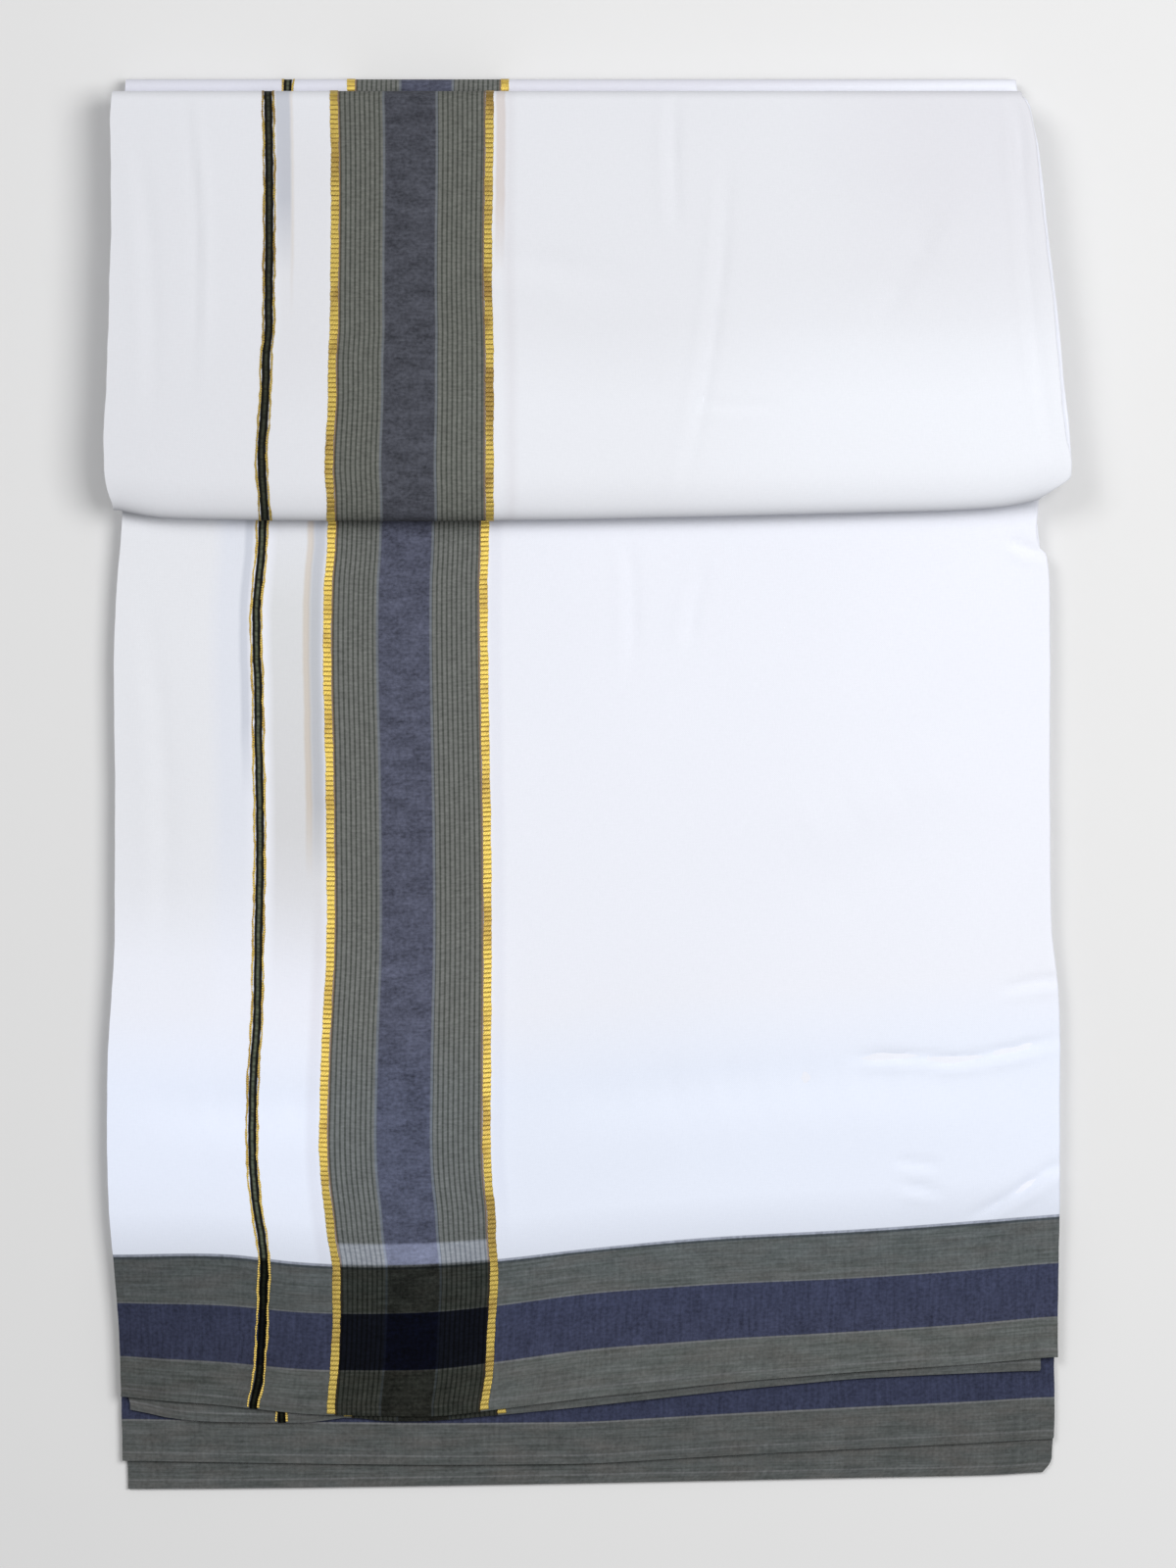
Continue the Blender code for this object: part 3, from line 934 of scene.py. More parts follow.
@dataclass
class LeafPlan:
    """How the face of a leaf is laid out in columns: across the top, round its right fold and back."""

    step: float = 1.85
    radius: float = 0.9
    inset: float = 0.0
    back: float | None = 4.0
    back_inset: float = 1.4
    end_inset: float = 0.0
    fold_columns: int = 7
    back_columns: int = 3
    wobble: float = 0.0
    seed: float = 0.0

    def grid(self, face: Face, lengths: Array, rows: Sequence[Row]) -> tuple[Array, Array]:
        """Lays the leaf's points.

        Args:
            face: The leaf's face.
            lengths: The length along the section at each row of points.
            rows: Where the leaf's woven lines lie, or nothing for a stretch with none.

        Returns:
            The points by row and column, and the place across the flat cloth of each.
        """
        left = face.edge(lengths, right=False) + self.wobble * wander(lengths, self.seed)
        right = face.edge(lengths, right=True) - self.inset - self.radius
        right = right + self.wobble * wander(lengths, self.seed + 2.0)
        count = max(4, round(float((right - left).mean()) / self.step))
        shares = np.linspace(0.0, 1.0, count + 1)[None, :]
        angles = np.radians(np.linspace(0.0, 180.0, self.fold_columns + 1)[1:])[None, :]
        backs = np.linspace(0.0, 1.0, self.back_columns + 1)[None, 1:]
        span = lengths[:, None]
        late = span + self.end_inset * (1 - (span - lengths[0]) / (lengths[-1] - lengths[0]))

        top_x = left[:, None] + (right - left)[:, None] * shares
        fold_x = right[:, None] + self.radius * np.sin(angles)
        if self.back is None:
            uneven = 0.5 * wander(lengths, self.seed + 5.0)
            reach = (right - left - self.back_inset - uneven)[:, None]
        else:
            reach = np.full((len(lengths), 1), self.back)
        back_x = right[:, None] - reach * backs
        fold_length = span + (late - span) * angles / math.pi
        points = np.concatenate([
            face.place(top_x, span),
            face.place(fold_x, fold_length, self.radius * (1 - np.cos(angles))),
            face.place(back_x, late, 2 * self.radius),
        ], axis=1)
        width = WEAVE.strip_width
        if rows:
            y = points[:, : count + 1, 1]
            top_u = cloth_across(top_x, rows, y, left[:, None], right[:, None])
        else:
            top_u = np.broadcast_to(2 * width - shares * width, top_x.shape)
        sign = 1.0 if rows else -1.0
        fold_u = np.broadcast_to(width + sign * self.radius * angles, fold_x.shape)
        back_u = width + sign * (self.radius * math.pi + reach * backs)
        return points, np.concatenate([top_u, fold_u, back_u], axis=1)


def dress(piece: bpy.types.Object, material: bpy.types.Material, slot: str, *nodes: str) -> None:
    """Gives a piece its material and its place in the frame, and logs its triangles.

    Args:
        piece: The finished piece.
        material: Its finish.
        slot: The record's material slot. It is not used.
        nodes: The CAD nodes it stands for.
    """
    piece.data.materials.clear()
    piece.data.materials.append(material)
    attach(piece, "root")
    if nodes:
        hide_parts(*nodes)
    piece.data.calc_loop_triangles()
    LOG.info("%s: %d triangles", piece.name, len(piece.data.loop_triangles))


# ---------------------------------------------------------------- gold ribbons


@dataclass(frozen=True)
class Rib:
    """The shape of one rib of a gold line, in millimetres.

    The profile gives heights, from 0 to 1, at places along the rib. The widths say how much of the half
    width is steady, and how much comes with the height, with chance and with a slow swing. Across gives
    the places of its points, from -1 at its left to 1 at its right.
    """

    pitch: float
    height: float
    half: float
    sway: float
    profile: tuple[tuple[float, float], ...]
    widths: tuple[float, float, float, float]
    across: tuple[float, ...]


WIDE_RIB = Rib(
    pitch=1.6, height=0.17, half=WEAVE.gold_half, sway=0.4, widths=(0.84, 0.07, 0.07, 0.06),
    profile=((0.0, 0.0), (0.10, 0.75), (0.30, 1.0), (0.62, 0.98), (0.86, 0.72)),
    across=(-1.0, -0.93, -0.4, 0.4, 0.93, 1.0))
THIN_RIB = Rib(
    pitch=0.82, height=0.13, half=0.44, sway=1.0, widths=(0.55, 0.4, 0.25, 0.3),
    profile=((0.0, 0.0), (0.25, 0.9), (0.5, 1.0), (0.78, 0.7)),
    across=(-1.0, -0.8, 0.8, 1.0))


class Line(Enum):
    """The gold lines of the side border: the column that places each, which side of that it is on, its
    place on the flat cloth and its rib."""

    THIN_LEFT = ("thin_line", -1.0, WEAVE.thin_line, THIN_RIB)
    THIN_RIGHT = ("thin_line", 1.0, WEAVE.thin_line, THIN_RIB)
    BAND_LEFT = ("band_left", 0.0, WEAVE.gold_left, WIDE_RIB)
    BAND_RIGHT = ("band_right", 0.0, WEAVE.gold_right, WIDE_RIB)


@dataclass
class GoldRibbons:
    """The ribbed gold lines on one leaf: two wide ones at the band, two serrated ones at the thin line."""

    name: str
    thin_offset: float = 1.8
    lift: float = 0.05
    thickness: float = 0.09

    def strip(self, face: Face, rows: Sequence[Row], line: Line, start: float, end: float
              ) -> bpy.types.Object:
        """Makes one ribbon, rib by rib.

        Args:
            face: The leaf's face.
            rows: Where the leaf's woven lines lie.
            line: Which line it is.
            start: The length along the section where it starts.
            end: The length where it ends.

        Returns:
            The ribbon.
        """
        column, side, woven, rib = line.value
        ribs = np.arange(int((end - start) / rib.pitch))
        places = (ribs[:, None] + np.array([place for place, _ in rib.profile])[None, :]).ravel()
        humps = np.tile([height for _, height in rib.profile], len(ribs))
        unit = np.sin(np.floor(places) * 12.9898 + 4.0 * side + (7.0 if line is Line.BAND_LEFT else 2.0))
        jitter = (unit * 437.58) % 1.0 - 0.5
        lengths = start + (places + jitter * 0.12) * rib.pitch
        height = rib.height * humps * (1 + jitter * 0.3)
        swing = wander(lengths, 5.0 + 3.0 * side, (23.0, 9.0, 4.7))
        steady, with_height, with_chance, with_swing = rib.widths
        half = rib.half * (steady + with_height * humps + with_chance * jitter + with_swing * swing)
        shares = np.array(rib.across)
        rim = np.abs(shares) >= 0.999

        rough_y = face.section.at(lengths)[0]
        centre = read_rows(rows, column, rough_y)
        y = face.outline.slanted(centre, rough_y, face.reach)
        sway = 0.22 * wander(y, 3.1 + side, (17.0, 7.3, 3.9))
        centre = (read_rows(rows, column, y) + side * self.thin_offset + rib.sway * sway)[:, None]
        x = centre + half[:, None] * shares[None, :]
        lift = np.where(rim[None, :], -self.thickness, self.lift + height[:, None])
        points = face.place(x, lengths[:, None], -lift)
        across = woven + side * self.thin_offset + x - centre
        cloth = np.stack(np.broadcast_arrays(across, (places * rib.pitch)[:, None]), axis=-1)
        return shape_sheet(f"{self.name}_{line.name.lower()}", points, cloth, self.thickness)

    def build(self, face: Face, rows: Sequence[Row], start: float, end: float,
              material: bpy.types.Material) -> bpy.types.Object:
        """Makes all the leaf's ribbons as one piece.

        Args:
            face: The leaf's face.
            rows: Where the leaf's woven lines lie.
            start: The length along the section where they start.
            end: The length where they end.
            material: The gold finish.

        Returns:
            The joined piece.
        """
        strips = [self.strip(face, rows, line, start, end) for line in Line]
        bpy.ops.object.select_all(action="DESELECT")
        for strip in strips:
            strip.select_set(True)
        bpy.context.view_layer.objects.active = strips[0]
        bpy.ops.object.join()
        piece = bpy.context.object
        piece.name = piece.data.name = self.name
        dress(piece, material, "gold_zari")
        return piece


# ---------------------------------------------------------------- hidden plies


@dataclass
class Serpentine:
    """The strip's own section: one cloth width folded lengthwise into plies that lie on each other."""

    levels: tuple[int, ...] = (0, 3, 2, 1)
    run_columns: int = 9
    fold_columns: int = 4

    def columns(self) -> tuple[Array, Array, Array, Array]:
        """Lays out the columns.

        Returns:
            For each column its share across the strip, how far it bulges past the edge in ply
            distances, its level from the outermost ply, and its place across the flat cloth.
        """
        shares, bulges, levels, places = [], [], [], []
        width = WEAVE.strip_width
        for n, level in enumerate(self.levels):
            rightwards = n % 2 == 0
            for k in range(self.run_columns + 1):
                share = k / self.run_columns
                shares.append(share if rightwards else 1 - share)
                bulges.append(0.0)
                levels.append(float(level))
                places.append((n + share) * width)
            if n + 1 < len(self.levels):
                other = self.levels[n + 1]
                for k in range(1, self.fold_columns + 1):
                    turn = math.pi * k / (self.fold_columns + 1)
                    shares.append(1.0 if rightwards else 0.0)
                    bulge = abs(level - other) / 2 * math.sin(turn)
                    bulges.append(bulge if rightwards else -bulge)
                    levels.append((level + other) / 2 + (level - other) / 2 * math.cos(turn))
                    places.append((n + 1) * width)
        return tuple(np.array(values) for values in (shares, bulges, levels, places))


# ---------------------------------------------------------------- the bundle


class Bulge(NamedTuple):
    """A soft bulge of a side edge: its place along, its width and how far out it reaches."""

    y: float
    width: float
    reach: float


@dataclass
class Bundle:
    """The thick bundle of folds on the tail's far part."""

    crown: float = 0.06
    crown_near: float = 5.6
    nose_depth: float = 13.0
    far_depth: float = 4.5
    far_end: float = -40.0
    ply: float = 0.42
    inner_ply: float = 0.17
    ply_pitch: float = 0.245
    wrap_pitch: float = 1.06
    first_depth: float = 1.0
    wraps: float = 4.2
    run_share: float = 0.4
    turn_share: float = 0.1
    ply_start: float = 900.0
    folds_start: float = 1200.0
    ply_width: float = 324.0
    corner: tuple[Bulge, ...] = (
        Bulge(105.0, 8.0, 2.3),
        Bulge(99.8, 3.6, 3.4),
        Bulge(93.5, 3.0, -3.2),
    )
    rows: tuple[Row, ...] = (
        Row(90.1, -107.9, -85.9, -32.8),
        Row(96.7, -108.2, -85.9, -32.8),
        Row(104.5, -108.8, -86.4, -32.8),
        Row(112.4, -108.8, -86.2, -32.8),
        Row(120.2, -108.1, -85.7, -32.8),
        Row(128.0, -107.6, -85.3, -32.8),
        Row(143.7, -107.1, -85.2, -32.8),
        Row(150.2, -106.5, -84.7, -32.9),
        Row(160.0, -106.4, -84.6, -33.2),
        Row(222.0, -106.5, -84.6, -32.8),
        Row(231.7, -106.8, -84.9, -32.8),
    )
    creases: tuple[Crease, ...] = (
        Crease((-131.3, 231.0), (-128.8, 132.0), -0.67, 1.6),
        Crease((29.0, 233.0), (29.5, 184.0), 0.90, 2.0),
        Crease((46.5, 208.0), (31.5, 97.0), 0.90, 2.2),
        Crease((38.0, 127.0), (64.0, 126.0), 0.35, 1.9),
        Crease((141.5, 232.0), (143.0, 194.0), 0.88, 1.6),
        Crease((144.6, 226.0), (153.8, 112.0), 0.80, 1.5),
        Crease((-60.0, 178.0), (12.0, 168.0), 0.56, 5.0),
        Crease((92.0, 148.0), (120.0, 200.0), 0.64, 4.5),
        Crease((-150.0, 214.0), (-146.0, 120.0), 0.48, 2.6),
    )
    outline: Outline = field(default_factory=lambda: Outline("front_leaf"))

    def __post_init__(self) -> None:
        """Makes the near right corner rounder and fuller than the CAD node has it."""
        right_at = self.outline.right_at
        self.outline.right_at = lambda y: right_at(y) + sum(
            part.reach * bell(y - part.y, part.width) for part in self.corner)

    def core(self) -> tuple[float, float, float]:
        """Gives the near fold's centre along the cloth, the middle's height and half the thickness."""
        low, high = self.outline.cad.low[2], self.outline.cad.high[2]
        return self.outline.near + self.nose_depth, (low + high) / 2, (high - low) / 2

    def settle(self, x: Array, y: Array, z: Array) -> Array:
        """The height of a point once the bundle sinks a little towards its two folds."""
        near, far = self.outline.near + self.crown_near, self.outline.far
        off = np.clip(np.abs((y - (near + far) / 2) / ((far - near) / 2)), 0.0, 1.0)
        bottom, top = self.outline.cad.low[2], self.outline.cad.high[2]
        level = (z - bottom) * (1 - self.crown * off**2)
        upper = np.clip((z - bottom) / (top - bottom), 0.0, 1.0)
        swell = 0.14 * wander(x + 0.4 * y, 1.0, (190.0, 83.0))
        swell = swell + 0.12 * wander(y - 0.3 * x, 4.0, (120.0, 57.0))
        return bottom + level + upper * np.minimum(swell - 0.12, 0.0)

    def face(self) -> Face:
        """Lays the face of the outermost ply: under, round the near fold, over and down the far fold."""
        low, high = self.outline.cad.low[2], self.outline.cad.high[2]
        near_centre, middle, half = self.core()
        far_centre = self.outline.far - self.far_depth
        points = np.concatenate([
            straight(far_centre - self.far_depth, near_centre, low, 7.0),
            arc((near_centre, middle), (-self.nose_depth, half), -90.0, 90.0, 30)[:-1],
            straight(near_centre, far_centre, high, 1.9),
            arc((far_centre, middle), (self.far_depth, half), 90.0, self.far_end, 14),
        ])
        return Face(self.outline, Section(points), self.outline.far, self.settle, self.creases)

    def outer_ply(self, cotton: bpy.types.Material, gold: bpy.types.Material) -> None:
        """Makes the outermost ply, with its gold."""
        face = self.face()
        lengths = face.section.lengths
        plan = LeafPlan(radius=0.95, inset=1.5, back=2.0, wobble=0.25, seed=1.0)
        points, across = plan.grid(face, lengths, self.rows)
        cloth = np.stack([across, np.broadcast_to(self.ply_start + lengths[:, None], across.shape)], axis=-1)
        piece = shape_sheet("front_ply", points, cloth, self.ply)
        dress(piece, cotton, "white_cotton", "front_leaf")
        underside = self.outline.far - self.far_depth * 2 - self.outline.near - self.nose_depth
        ribbons = GoldRibbons("front_zari").build(face, self.rows, underside - 3.0,
                                                  float(lengths[-1]) - 1.0, gold)

    def wrap(self, turn: Array, depth: Array) -> tuple[Array, Array]:
        """Gives Y and Z on the spiral of folds.

        Args:
            turn: How many turns from the start, from the near end of the top.
            depth: How deep inside the bundle's surface.

        Returns:
            The places along the cloth, and the heights.
        """
        near_centre, middle, half = self.core()
        height = np.maximum(half - depth, 0.05)
        near_radius = np.maximum(self.nose_depth - depth, 0.3)
        far_radius = self.far_depth * height / half
        far_centre = self.outline.far - depth - far_radius
        phase = turn % 1.0
        run, half_turn = self.run_share, self.run_share + self.turn_share
        over = np.clip(phase / run, 0.0, 1.0)
        far_turn = np.clip((phase - run) / self.turn_share, 0.0, 1.0) * math.pi
        under = np.clip((phase - half_turn) / run, 0.0, 1.0)
        near_turn = np.clip((phase - half_turn - run) / self.turn_share, 0.0, 1.0) * math.pi
        y = near_centre + (far_centre - near_centre) * over
        z = middle + height
        rounding = phase > run
        y = np.where(rounding, far_centre + far_radius * np.sin(far_turn), y)
        z = np.where(rounding, middle + height * np.cos(far_turn), z)
        back = phase > half_turn
        y = np.where(back, far_centre + (near_centre - far_centre) * under, y)
        z = np.where(back, middle - height, z)
        closing = phase > half_turn + run
        y = np.where(closing, near_centre - near_radius * np.sin(near_turn), y)
        z = np.where(closing, middle - height * np.cos(near_turn), z)
        return y, z

    def folds(self, cotton: bpy.types.Material) -> None:
        """Makes the plies inside: the strip, four plies thick, wound over and over."""
        half_turn = self.run_share + self.turn_share
        runs = np.linspace(0.0, self.run_share, 10)[:-1]
        rounds = np.linspace(self.run_share, half_turn, 9)[:-1]
        one = np.concatenate([runs, rounds, runs + half_turn, rounds + half_turn])
        turns = np.concatenate([one + n for n in range(math.ceil(self.wraps))])
        turns = turns[turns <= self.wraps][:, None]
        share, bulge, level, place = Serpentine().columns()
        depth = self.first_depth + self.wrap_pitch * turns + self.ply_pitch * level[None, :]
        y, z = self.wrap(turns, depth)
        steps = np.linalg.norm(np.diff(np.stack([y[:, 0], z[:, 0]], axis=1), axis=0), axis=1)
        run = np.concatenate([[0.0], np.cumsum(steps)])[:, None]
        tucked = 1 - smooth_step(depth, self.first_depth + 0.75, self.first_depth + 1.1)
        free = np.where(level[None, :] < 0.5, 0.9, 0.3)
        left = self.outline.left_at(y) + 0.9 + free * 0.7 * wander(run + 37.0 * level[None, :], 1.0)
        right = self.outline.right_at(y) - 1.1 - 2.6 * tucked - 0.55 * wander(run, 2.0) ** 2
        x = left + (right - left) * share[None, :] + self.ply_pitch * bulge[None, :]
        y = self.outline.slanted(x, y, self.outline.far)
        points = np.stack([x, y, self.settle(x, y, z)], axis=-1)
        cloth = np.stack(np.broadcast_arrays(place[None, :], run + self.folds_start), axis=-1)
        piece = shape_sheet("bundle_folds", points, cloth, self.inner_ply, offset=0.0)
        dress(piece, cotton, "white_cotton", "front_fill")


# ---------------------------------------------------------------- the tail


@dataclass(frozen=True)
class Step:
    """A flat leaf whose end steps out: its piece, its CAD node, the record's material slot, how many
    steps up it lies, the piece it rests on, its woven lines, and whether hidden plies lift it."""

    name: str
    node: str
    slot: str
    level: int
    rests_on: str | None
    rows: tuple[Row, ...] = ()
    lifted: bool = False


@dataclass
class Tail:
    """The long tail: the ply on top, the plies whose ends step out from under it and those inside."""

    rise: float = 2.6
    rise_start: float = -205.0
    rise_end: float = -110.0
    wall: float = 1.0
    gap: float = 0.3
    far_depth: float = 4.5
    far_end: float = -35.0
    ply: float = 0.42
    rows: tuple[Row, ...] = (
        Row(-208.4, -112.6, -86.3, -34.8),
        Row(-200.5, -110.8, -85.6, -33.5),
        Row(-192.6, -110.1, -85.0, -32.9),
        Row(-180.8, -109.4, -84.5, -32.4),
        Row(-169.0, -109.0, -84.5, -31.6),
        Row(-161.7, -108.7, -84.6, -31.6),
        Row(-152.5, -109.6, -86.1, -32.2),
        Row(-143.3, -111.1, -87.1, -32.5),
        Row(-134.1, -112.1, -88.2, -33.4),
        Row(-97.3, -112.3, -88.4, -33.9),
        Row(-78.9, -111.1, -87.6, -33.8),
        Row(-60.5, -110.8, -86.6, -33.7),
        Row(-14.5, -110.1, -86.5, -33.9),
        Row(13.1, -110.6, -86.9, -34.4),
        Row(31.6, -110.8, -87.4, -34.7),
        Row(59.2, -111.3, -87.4, -35.0),
        Row(68.4, -110.6, -87.1, -35.0),
        Row(77.6, -109.6, -86.3, -34.7),
        Row(86.8, -109.3, -85.9, -34.5),
        Row(225.0, -101.0, -79.5, -28.0),
        Row(236.8, -100.7, -79.5, -27.8),
    )
    border: tuple[EndRow, ...] = (
        EndRow(-159.1, -158.0, -0.3),
        EndRow(-118.6, -158.1, -0.2),
        EndRow(-98.9, -160.4, 0.2),
        EndRow(-59.4, -161.4, 0.9),
        EndRow(-33.1, -159.8, 1.4),
        EndRow(-0.2, -156.1, 1.9),
        EndRow(32.7, -152.9, 1.0),
        EndRow(98.5, -149.0, -0.4),
        EndRow(157.8, -144.4, -0.3),
    )
    steps: tuple[Step, ...] = (
        Step("bottom_ply", "bottom_leaf", "border_cotton", 0, None),
        Step("lower_ply", "lower_leaf", "border_cotton", 1, "bottom_ply"),
        Step("under_ply", "under_leaf", "white_cotton", 2, "tail_folds", lifted=True, rows=(
            Row(-215.0, -102.9, -80.6, -28.8),
            Row(-190.0, -104.0, -82.0, -30.0),
            Row(40.0, -115.3, -94.3, -41.0),
            Row(232.0, -112.0, -92.0, -40.0),
        )),
    )
    creases: tuple[Crease, ...] = (
        Crease((13.3, 82.0), (13.8, 36.0), 0.63, 2.0),
        Crease((39.0, 74.0), (33.0, 44.0), 0.67, 2.1),
        Crease((88.0, -92.0), (126.0, -93.0), 1.12, 1.7),
        Crease((117.0, -93.6), (160.0, -84.6), 1.30, 1.8),
        Crease((139.0, -69.0), (160.0, -65.5), 0.98, 1.7),
        Crease((127.0, -146.5), (149.0, -133.5), 1.12, 1.8),
        Crease((143.0, -138.5), (161.0, -126.0), 1.30, 1.9),
        Crease((103.0, -126.5), (118.0, -128.0), 0.77, 1.6),
        Crease((104.0, -135.0), (119.0, -137.5), 0.77, 1.6),
        Crease((141.0, 81.5), (155.0, 76.5), 1.05, 1.6),
        Crease((-119.2, -161.0), (-119.4, -174.5), 0.63, 1.2),
        Crease((-152.0, -108.0), (-60.0, -104.0), 0.77, 8.0),
        Crease((-20.0, -108.0), (152.0, -99.0), 0.77, 9.0),
        Crease((60.0, -20.0), (130.0, 10.0), -0.56, 12.0),
        Crease((-148.0, 60.0), (-143.0, -60.0), 0.49, 3.5),
    )
    end_creases: tuple[Crease, ...] = (
        Crease((-40.0, -226.0), (-38.0, -216.0), 0.12, 1.2),
    )
    zari_end: float = 0.4
    notch: float = 2.3
    notch_near: tuple[float, float] = (76.6, 80.0)
    notch_far: tuple[float, float] = (82.0, 97.0)
    under_bundle: float = 96.0
    tuck: float = 1.7
    tuck_at: float = -80.5
    tuck_width: float = 9.0
    ply_width: float = 322.0
    leaf_width: float = 630.0
    corner_x: float = 150.0
    corner_reach: float = 2.2
    corner_along: tuple[float, float] = (-220.5, -215.0)
    corner_round: float = 3.2
    corner_rise: tuple[float, float] = (-1.5, 4.5)
    finest_until: float = 6.0
    finer_until: float = 36.0
    inner_corner: float = 9.0
    inner_corner_fade: float = 5.0

    def lift(self, y: Array) -> Array:
        """How far the hidden plies lift the tail, which sinks towards its end."""
        return self.rise * smooth_step(y, self.rise_start, self.rise_end)

    def swell(self, x: Array, y: Array) -> Array:
        """A soft unevenness of the tail, which fades out under the bundle and at the end."""
        shape = 0.16 * wander(x + 0.25 * y, 2.0, (170.0, 71.0))
        shape = shape + 0.16 * wander(y - 0.35 * x, 5.0, (210.0, 90.0))
        return (shape - 0.2) * smooth_step(100.0 - y, 0.0, 40.0) * smooth_step(y, -200.0, -150.0)

    def top_ply(self, cotton: bpy.types.Material, gold: bpy.types.Material) -> None:
        """Makes the ply on top, from its end to the far fold, with its gold."""
        outline = Outline("tail_leaf")
        right_at = outline.right_at
        outline.right_at = lambda y: right_at(y) - self.notch * (
            smooth_step(y, *self.notch_near) * (1 - smooth_step(y, *self.notch_far)))
        top, far_centre = outline.cad.high[2], outline.far - self.far_depth
        points = np.concatenate([
            straight(outline.near, self.under_bundle, top, 1.85),
            straight(self.under_bundle, far_centre, top, 7.0),
            arc((far_centre, top / 2), (self.far_depth, top / 2), 90.0, self.far_end, 12),
        ])

        def settle(x: Array, y: Array, z: Array) -> Array:
            """Sinks the tail towards its end and gives it its unevenness."""
            return z - self.rise + self.lift(y) + self.swell(x, y)

        face = Face(outline, Section(points), far_centre, settle, self.creases)
        lengths = face.section.lengths
        plan = LeafPlan(radius=0.9, back=2.2, wobble=0.12, seed=3.0)
        points, across = plan.grid(face, lengths, self.rows)
        x, y = points[:, :, 0], points[:, :, 1]
        border = read_rows(self.border, "y", x)
        end = outline.near_at(x)
        share = (y - end) / (border - end)
        below = WEAVE.end_top * share - read_rows(self.border, "lift", x) * 4 * share * (1 - share)
        along = np.where(y < border, below, WEAVE.end_top + (y - border))
        along = np.where(lengths[:, None] > far_centre - outline.near,
                         WEAVE.end_top + lengths[:, None] - (border[0] - outline.near)[None, :], along)
        piece = shape_sheet("tail_ply", points, np.stack([across, along], axis=-1), self.ply)
        dress(piece, cotton, "white_cotton", "tail_leaf")
        ribbons = GoldRibbons("tail_zari").build(face, self.rows, self.zari_end,
                                                 float(lengths[-1]) - 1.0, gold)

    def step_outline(self, step: Step, tucked: bool) -> Outline:
        """Gives a stepped leaf's edges. The bottom one's near right corner is fuller and rounder."""
        outline = Outline(step.node)
        if step.rests_on is None:
            right_at, corner_y = outline.right_at, float(outline.near_at(self.corner_x))
            outline.right_at = lambda y: right_at(y) + self.corner_reach * (
                1 - smooth_step(y, *self.corner_along)) - self.corner_round * (
                1 - smooth_step(y - corner_y, *self.corner_rise)) ** 1.5
        if tucked:
            near_at = outline.near_at
            outline.near_at = lambda x: (
                near_at(x) + self.tuck * bell(np.asarray(x) - self.tuck_at, self.tuck_width))
        return outline

    def stepped_ply(self, step: Step, cotton: bpy.types.Material,
                    gold: bpy.types.Material | None = None) -> None:
        """Makes a flat leaf whose end steps out: one ply, its lengthwise fold and the ply beneath it.

        Args:
            step: Which leaf.
            cotton: Its finish.
            gold: The gold finish, where its gold shows.
        """
        outline = self.step_outline(step, tucked=bool(gold))
        level, seed = step.level * (self.wall + self.gap), step.level + 1.0
        finest, finer = outline.near + self.finest_until, outline.near + self.finer_until
        places = np.concatenate([
            np.linspace(outline.near, finest, 11)[:-1],
            np.linspace(finest, finer, 16)[:-1],
            np.linspace(finer, outline.far, 60),
        ])
        section = Section(np.stack([places, np.zeros(len(places))], axis=1))

        def settle(_: Array, y: Array, z: Array) -> Array:
            """Lays the leaf on what is beneath it."""
            return z + (level + (self.lift(y) if step.lifted else 0.0)) + self.wall

        face = Face(outline, section, outline.far, settle, self.end_creases)
        plan = LeafPlan(step=6.0, radius=self.wall / 2, back=None, back_inset=1.3 + 0.3 * seed,
                        end_inset=2.2, fold_columns=5, back_columns=26, wobble=0.18, seed=seed)
        points, across = plan.grid(face, section.lengths, step.rows)
        along = points[:, :, 1] - outline.near_at(points[:, :, 0])
        piece = shape_sheet(step.name, points, np.stack([across, along], axis=-1), self.ply * 0.85)
        dress(piece, cotton, step.slot, step.node)
        ribbons = []
        if gold:
            ribbons = [GoldRibbons("under_zari").build(face, step.rows, self.zari_end, 34.0, gold)]

    def inner_plies(self, cotton: bpy.types.Material) -> None:
        """Makes the plies inside, which lift the tail: one strip folded lengthwise in four."""
        outline = Outline("lower_fill")
        bottom = outline.cad.low[2]
        y = np.linspace(outline.near, outline.far, 70)[:, None]
        share, bulge, level, place = Serpentine(levels=(0, 1, 2, 3)).columns()
        height = np.maximum(self.lift(y) - self.gap, 0.3)
        corner = self.inner_corner * np.exp(-(y - outline.near) / self.inner_corner_fade)
        left = outline.left_at(y) + 0.7 + 0.6 * wander(y + 31.0 * level[None, :], 3.0) + corner
        right = outline.right_at(y) - 1.0 - 0.5 * wander(y, 6.0) - corner
        x = left + (right - left) * share[None, :] + bulge[None, :] * height / 4
        z = bottom + height * (3.5 - level[None, :]) / 4
        points = np.stack(np.broadcast_arrays(x, y, z), axis=-1)
        cloth = np.stack(np.broadcast_arrays(place[None, :], y - outline.near + 60.0), axis=-1)
        piece = shape_sheet("tail_folds", points, cloth, self.ply * 0.6, offset=0.0)
        dress(piece, cotton, "white_cotton", "lower_fill")


# ---------------------------------------------------------------- the camera, the lights and the floor


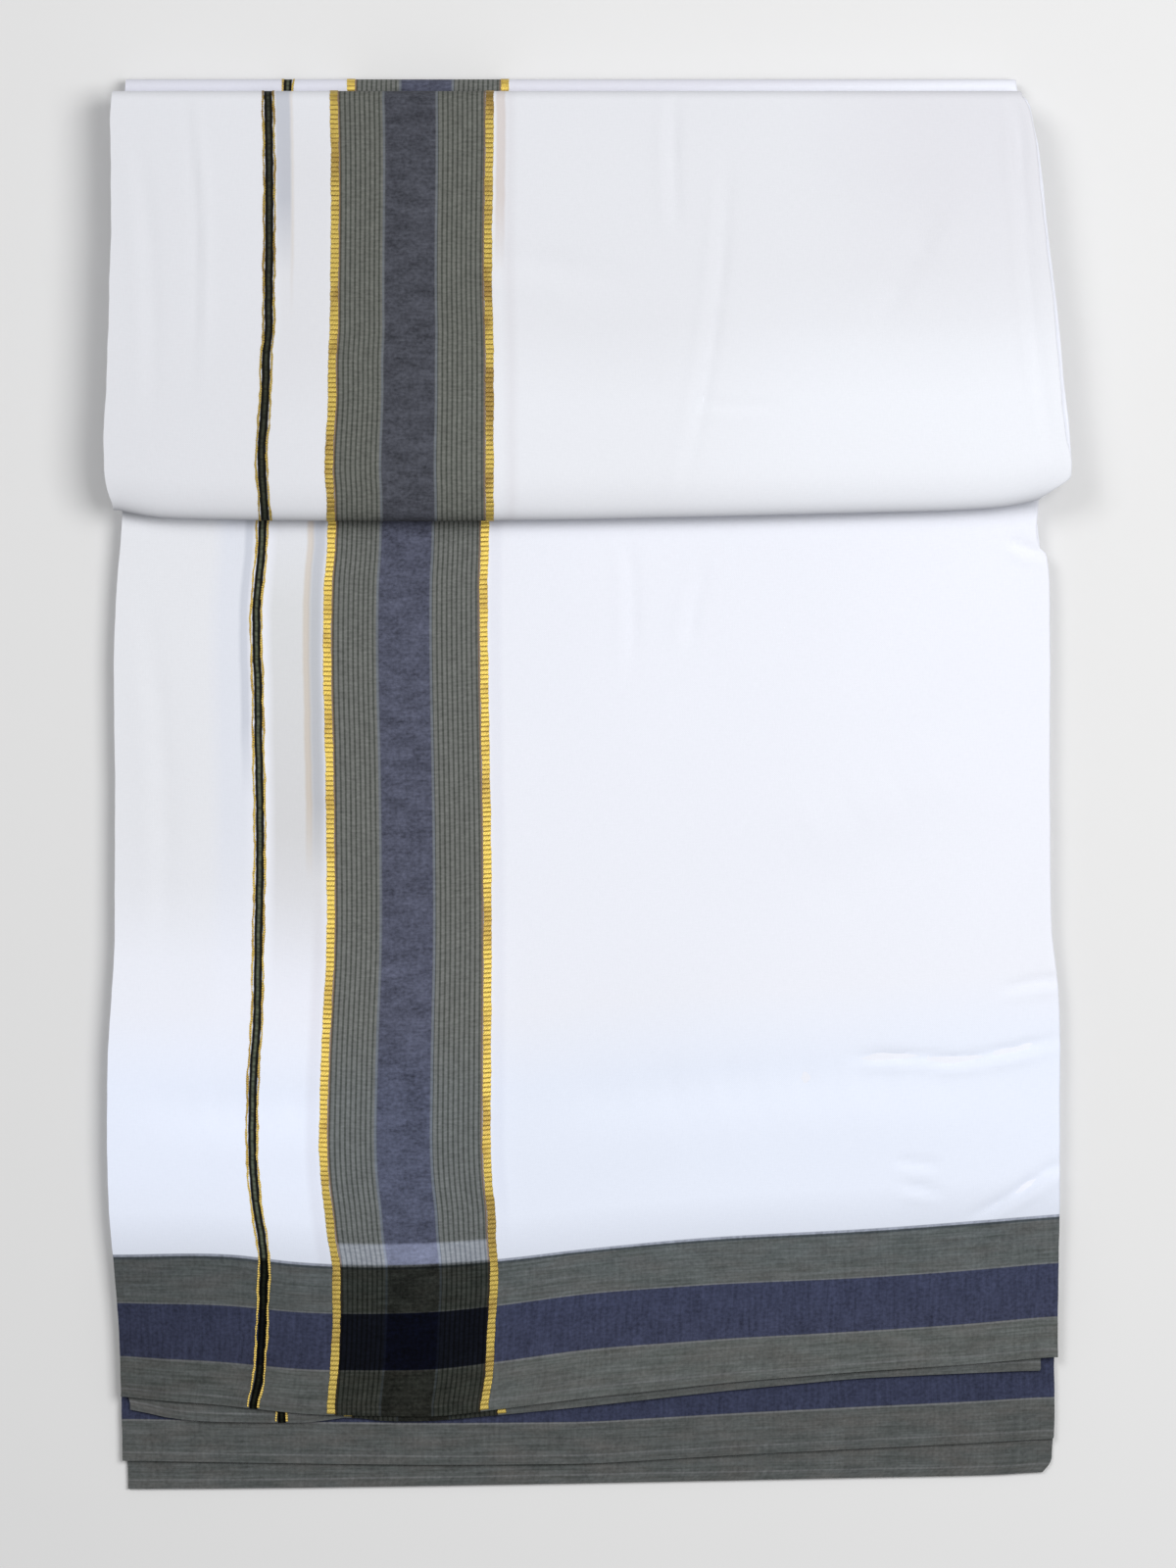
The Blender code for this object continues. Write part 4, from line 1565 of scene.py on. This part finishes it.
@dataclass
class Studio:
    """A camera straight above, soft light and a plain pale floor."""

    camera_height: float = 1980.0
    camera_lens: float = 135.0
    overhead_place: tuple[float, float, float] = (0.61, 0.20, 1.20)
    overhead_size: float = 0.75
    overhead_power: float = 12.4
    side_place: tuple[float, float, float] = (-1.2, 1.1, 2.2)
    side_size: float = 1.1
    side_power: float = 22.0
    sky: float = 0.29
    floor_size: float = 12.0
    floor_drop: float = 0.0003

    def light(self, name: str, place: tuple[float, float, float], size: float, power: float) -> None:
        """Adds a soft light that points at the middle of the cloth.

        Args:
            name: The light's name.
            place: Where it stands, in metres.
            size: The side of its square face.
            power: Its power in watts.
        """
        bpy.ops.object.select_all(action="DESELECT")
        bpy.ops.object.light_add(type="AREA", location=place)
        lamp = bpy.context.object
        lamp.name = name
        lamp.data.size, lamp.data.energy = size, power
        away = np.array(place) / np.linalg.norm(place)
        lamp.rotation_euler = (math.acos(away[2]), 0.0, math.atan2(away[1], away[0]) + math.pi / 2)

    def build(self) -> None:
        """Sets up the camera, the lights and the floor."""
        scene = bpy.context.scene
        bpy.ops.object.camera_add(location=(0.0, 0.0, self.camera_height * MM), rotation=(0.0, 0.0, 0.0))
        camera = bpy.context.object
        camera.data.lens = self.camera_lens
        camera.data.sensor_width = 36.0
        camera.data.clip_start = 0.01
        scene.camera = camera
        scene.view_settings.view_transform = "Standard"
        scene.view_settings.look = "None"
        world = bpy.data.worlds.new("soft_sky")
        world.use_nodes = True
        background = world.node_tree.nodes["Background"]
        background.inputs["Color"].default_value = (1.0, 1.0, 1.0, 1.0)
        background.inputs["Strength"].default_value = self.sky
        scene.world = world
        self.light("overhead", self.overhead_place, self.overhead_size, self.overhead_power)
        self.light("side", self.side_place, self.side_size, self.side_power)
        bpy.ops.object.select_all(action="DESELECT")
        bpy.ops.mesh.primitive_plane_add(size=self.floor_size, location=(0.0, 0.0, 0.0))
        floor = bpy.context.object
        floor.name = "floor"
        floor.data.transform(Matrix.Translation((0.0, 0.0, -self.floor_drop)))
        floor.data.materials.append(FloorFinish().build())


def main() -> None:
    """Builds the scene, piece by piece."""
    logging.basicConfig(level=logging.INFO, format="%(name)s %(message)s")
    Studio().build()
    tail_gold = ZariFinish("tail_gold", level=0.86, end_level=0.52, plain_end=68.0, wear=0.6).build()
    # Painted shade: the bundle's gold is a darker copy of the tail's gold.
    bundle_gold_painted_shade = ZariFinish("bundle_gold_painted_shade", level=0.60, end_level=0.60).build()
    # Painted shade: the bundle's cotton is a darker, greyer copy of the tail's, with darker white and blue.
    bundle_cotton_painted_shade = CottonFinish(
        "bundle_cotton_painted_shade", white=(0.722, 0.732, 0.772), thin_centre=(0.065, 0.07, 0.045),
        side_blue=(0.084, 0.087, 0.102), side_light=(0.215, 0.216, 0.188), fold_at=1037.8,
        tints_and_painted_light=BUNDLE_TINTS_AND_PAINTED_LIGHT).build()
    tail_cotton = CottonFinish("tail_cotton", has_end=True, end_side_shade=0.27, contact_from=84.0,
                               tints_and_painted_light=TAIL_TINTS_AND_PAINTED_LIGHT).build()
    inner_cotton = CottonFinish("inner_cotton").build()
    border_cotton = CottonFinish("border_cotton", has_end=True, end_light=(0.130, 0.137, 0.127),
                                 end_dark=(0.080, 0.087, 0.077), end_blue=(0.044, 0.050, 0.085)).build()

    tail = Tail()
    bottom, lower, under = tail.steps
    tail.stepped_ply(bottom, border_cotton)
    tail.stepped_ply(lower, border_cotton)
    tail.inner_plies(inner_cotton)
    tail.stepped_ply(under, border_cotton, tail_gold)
    tail.top_ply(tail_cotton, tail_gold)
    bundle = Bundle()
    bundle.folds(inner_cotton)
    bundle.outer_ply(bundle_cotton_painted_shade, bundle_gold_painted_shade)


if __name__ == "__main__":
    main()
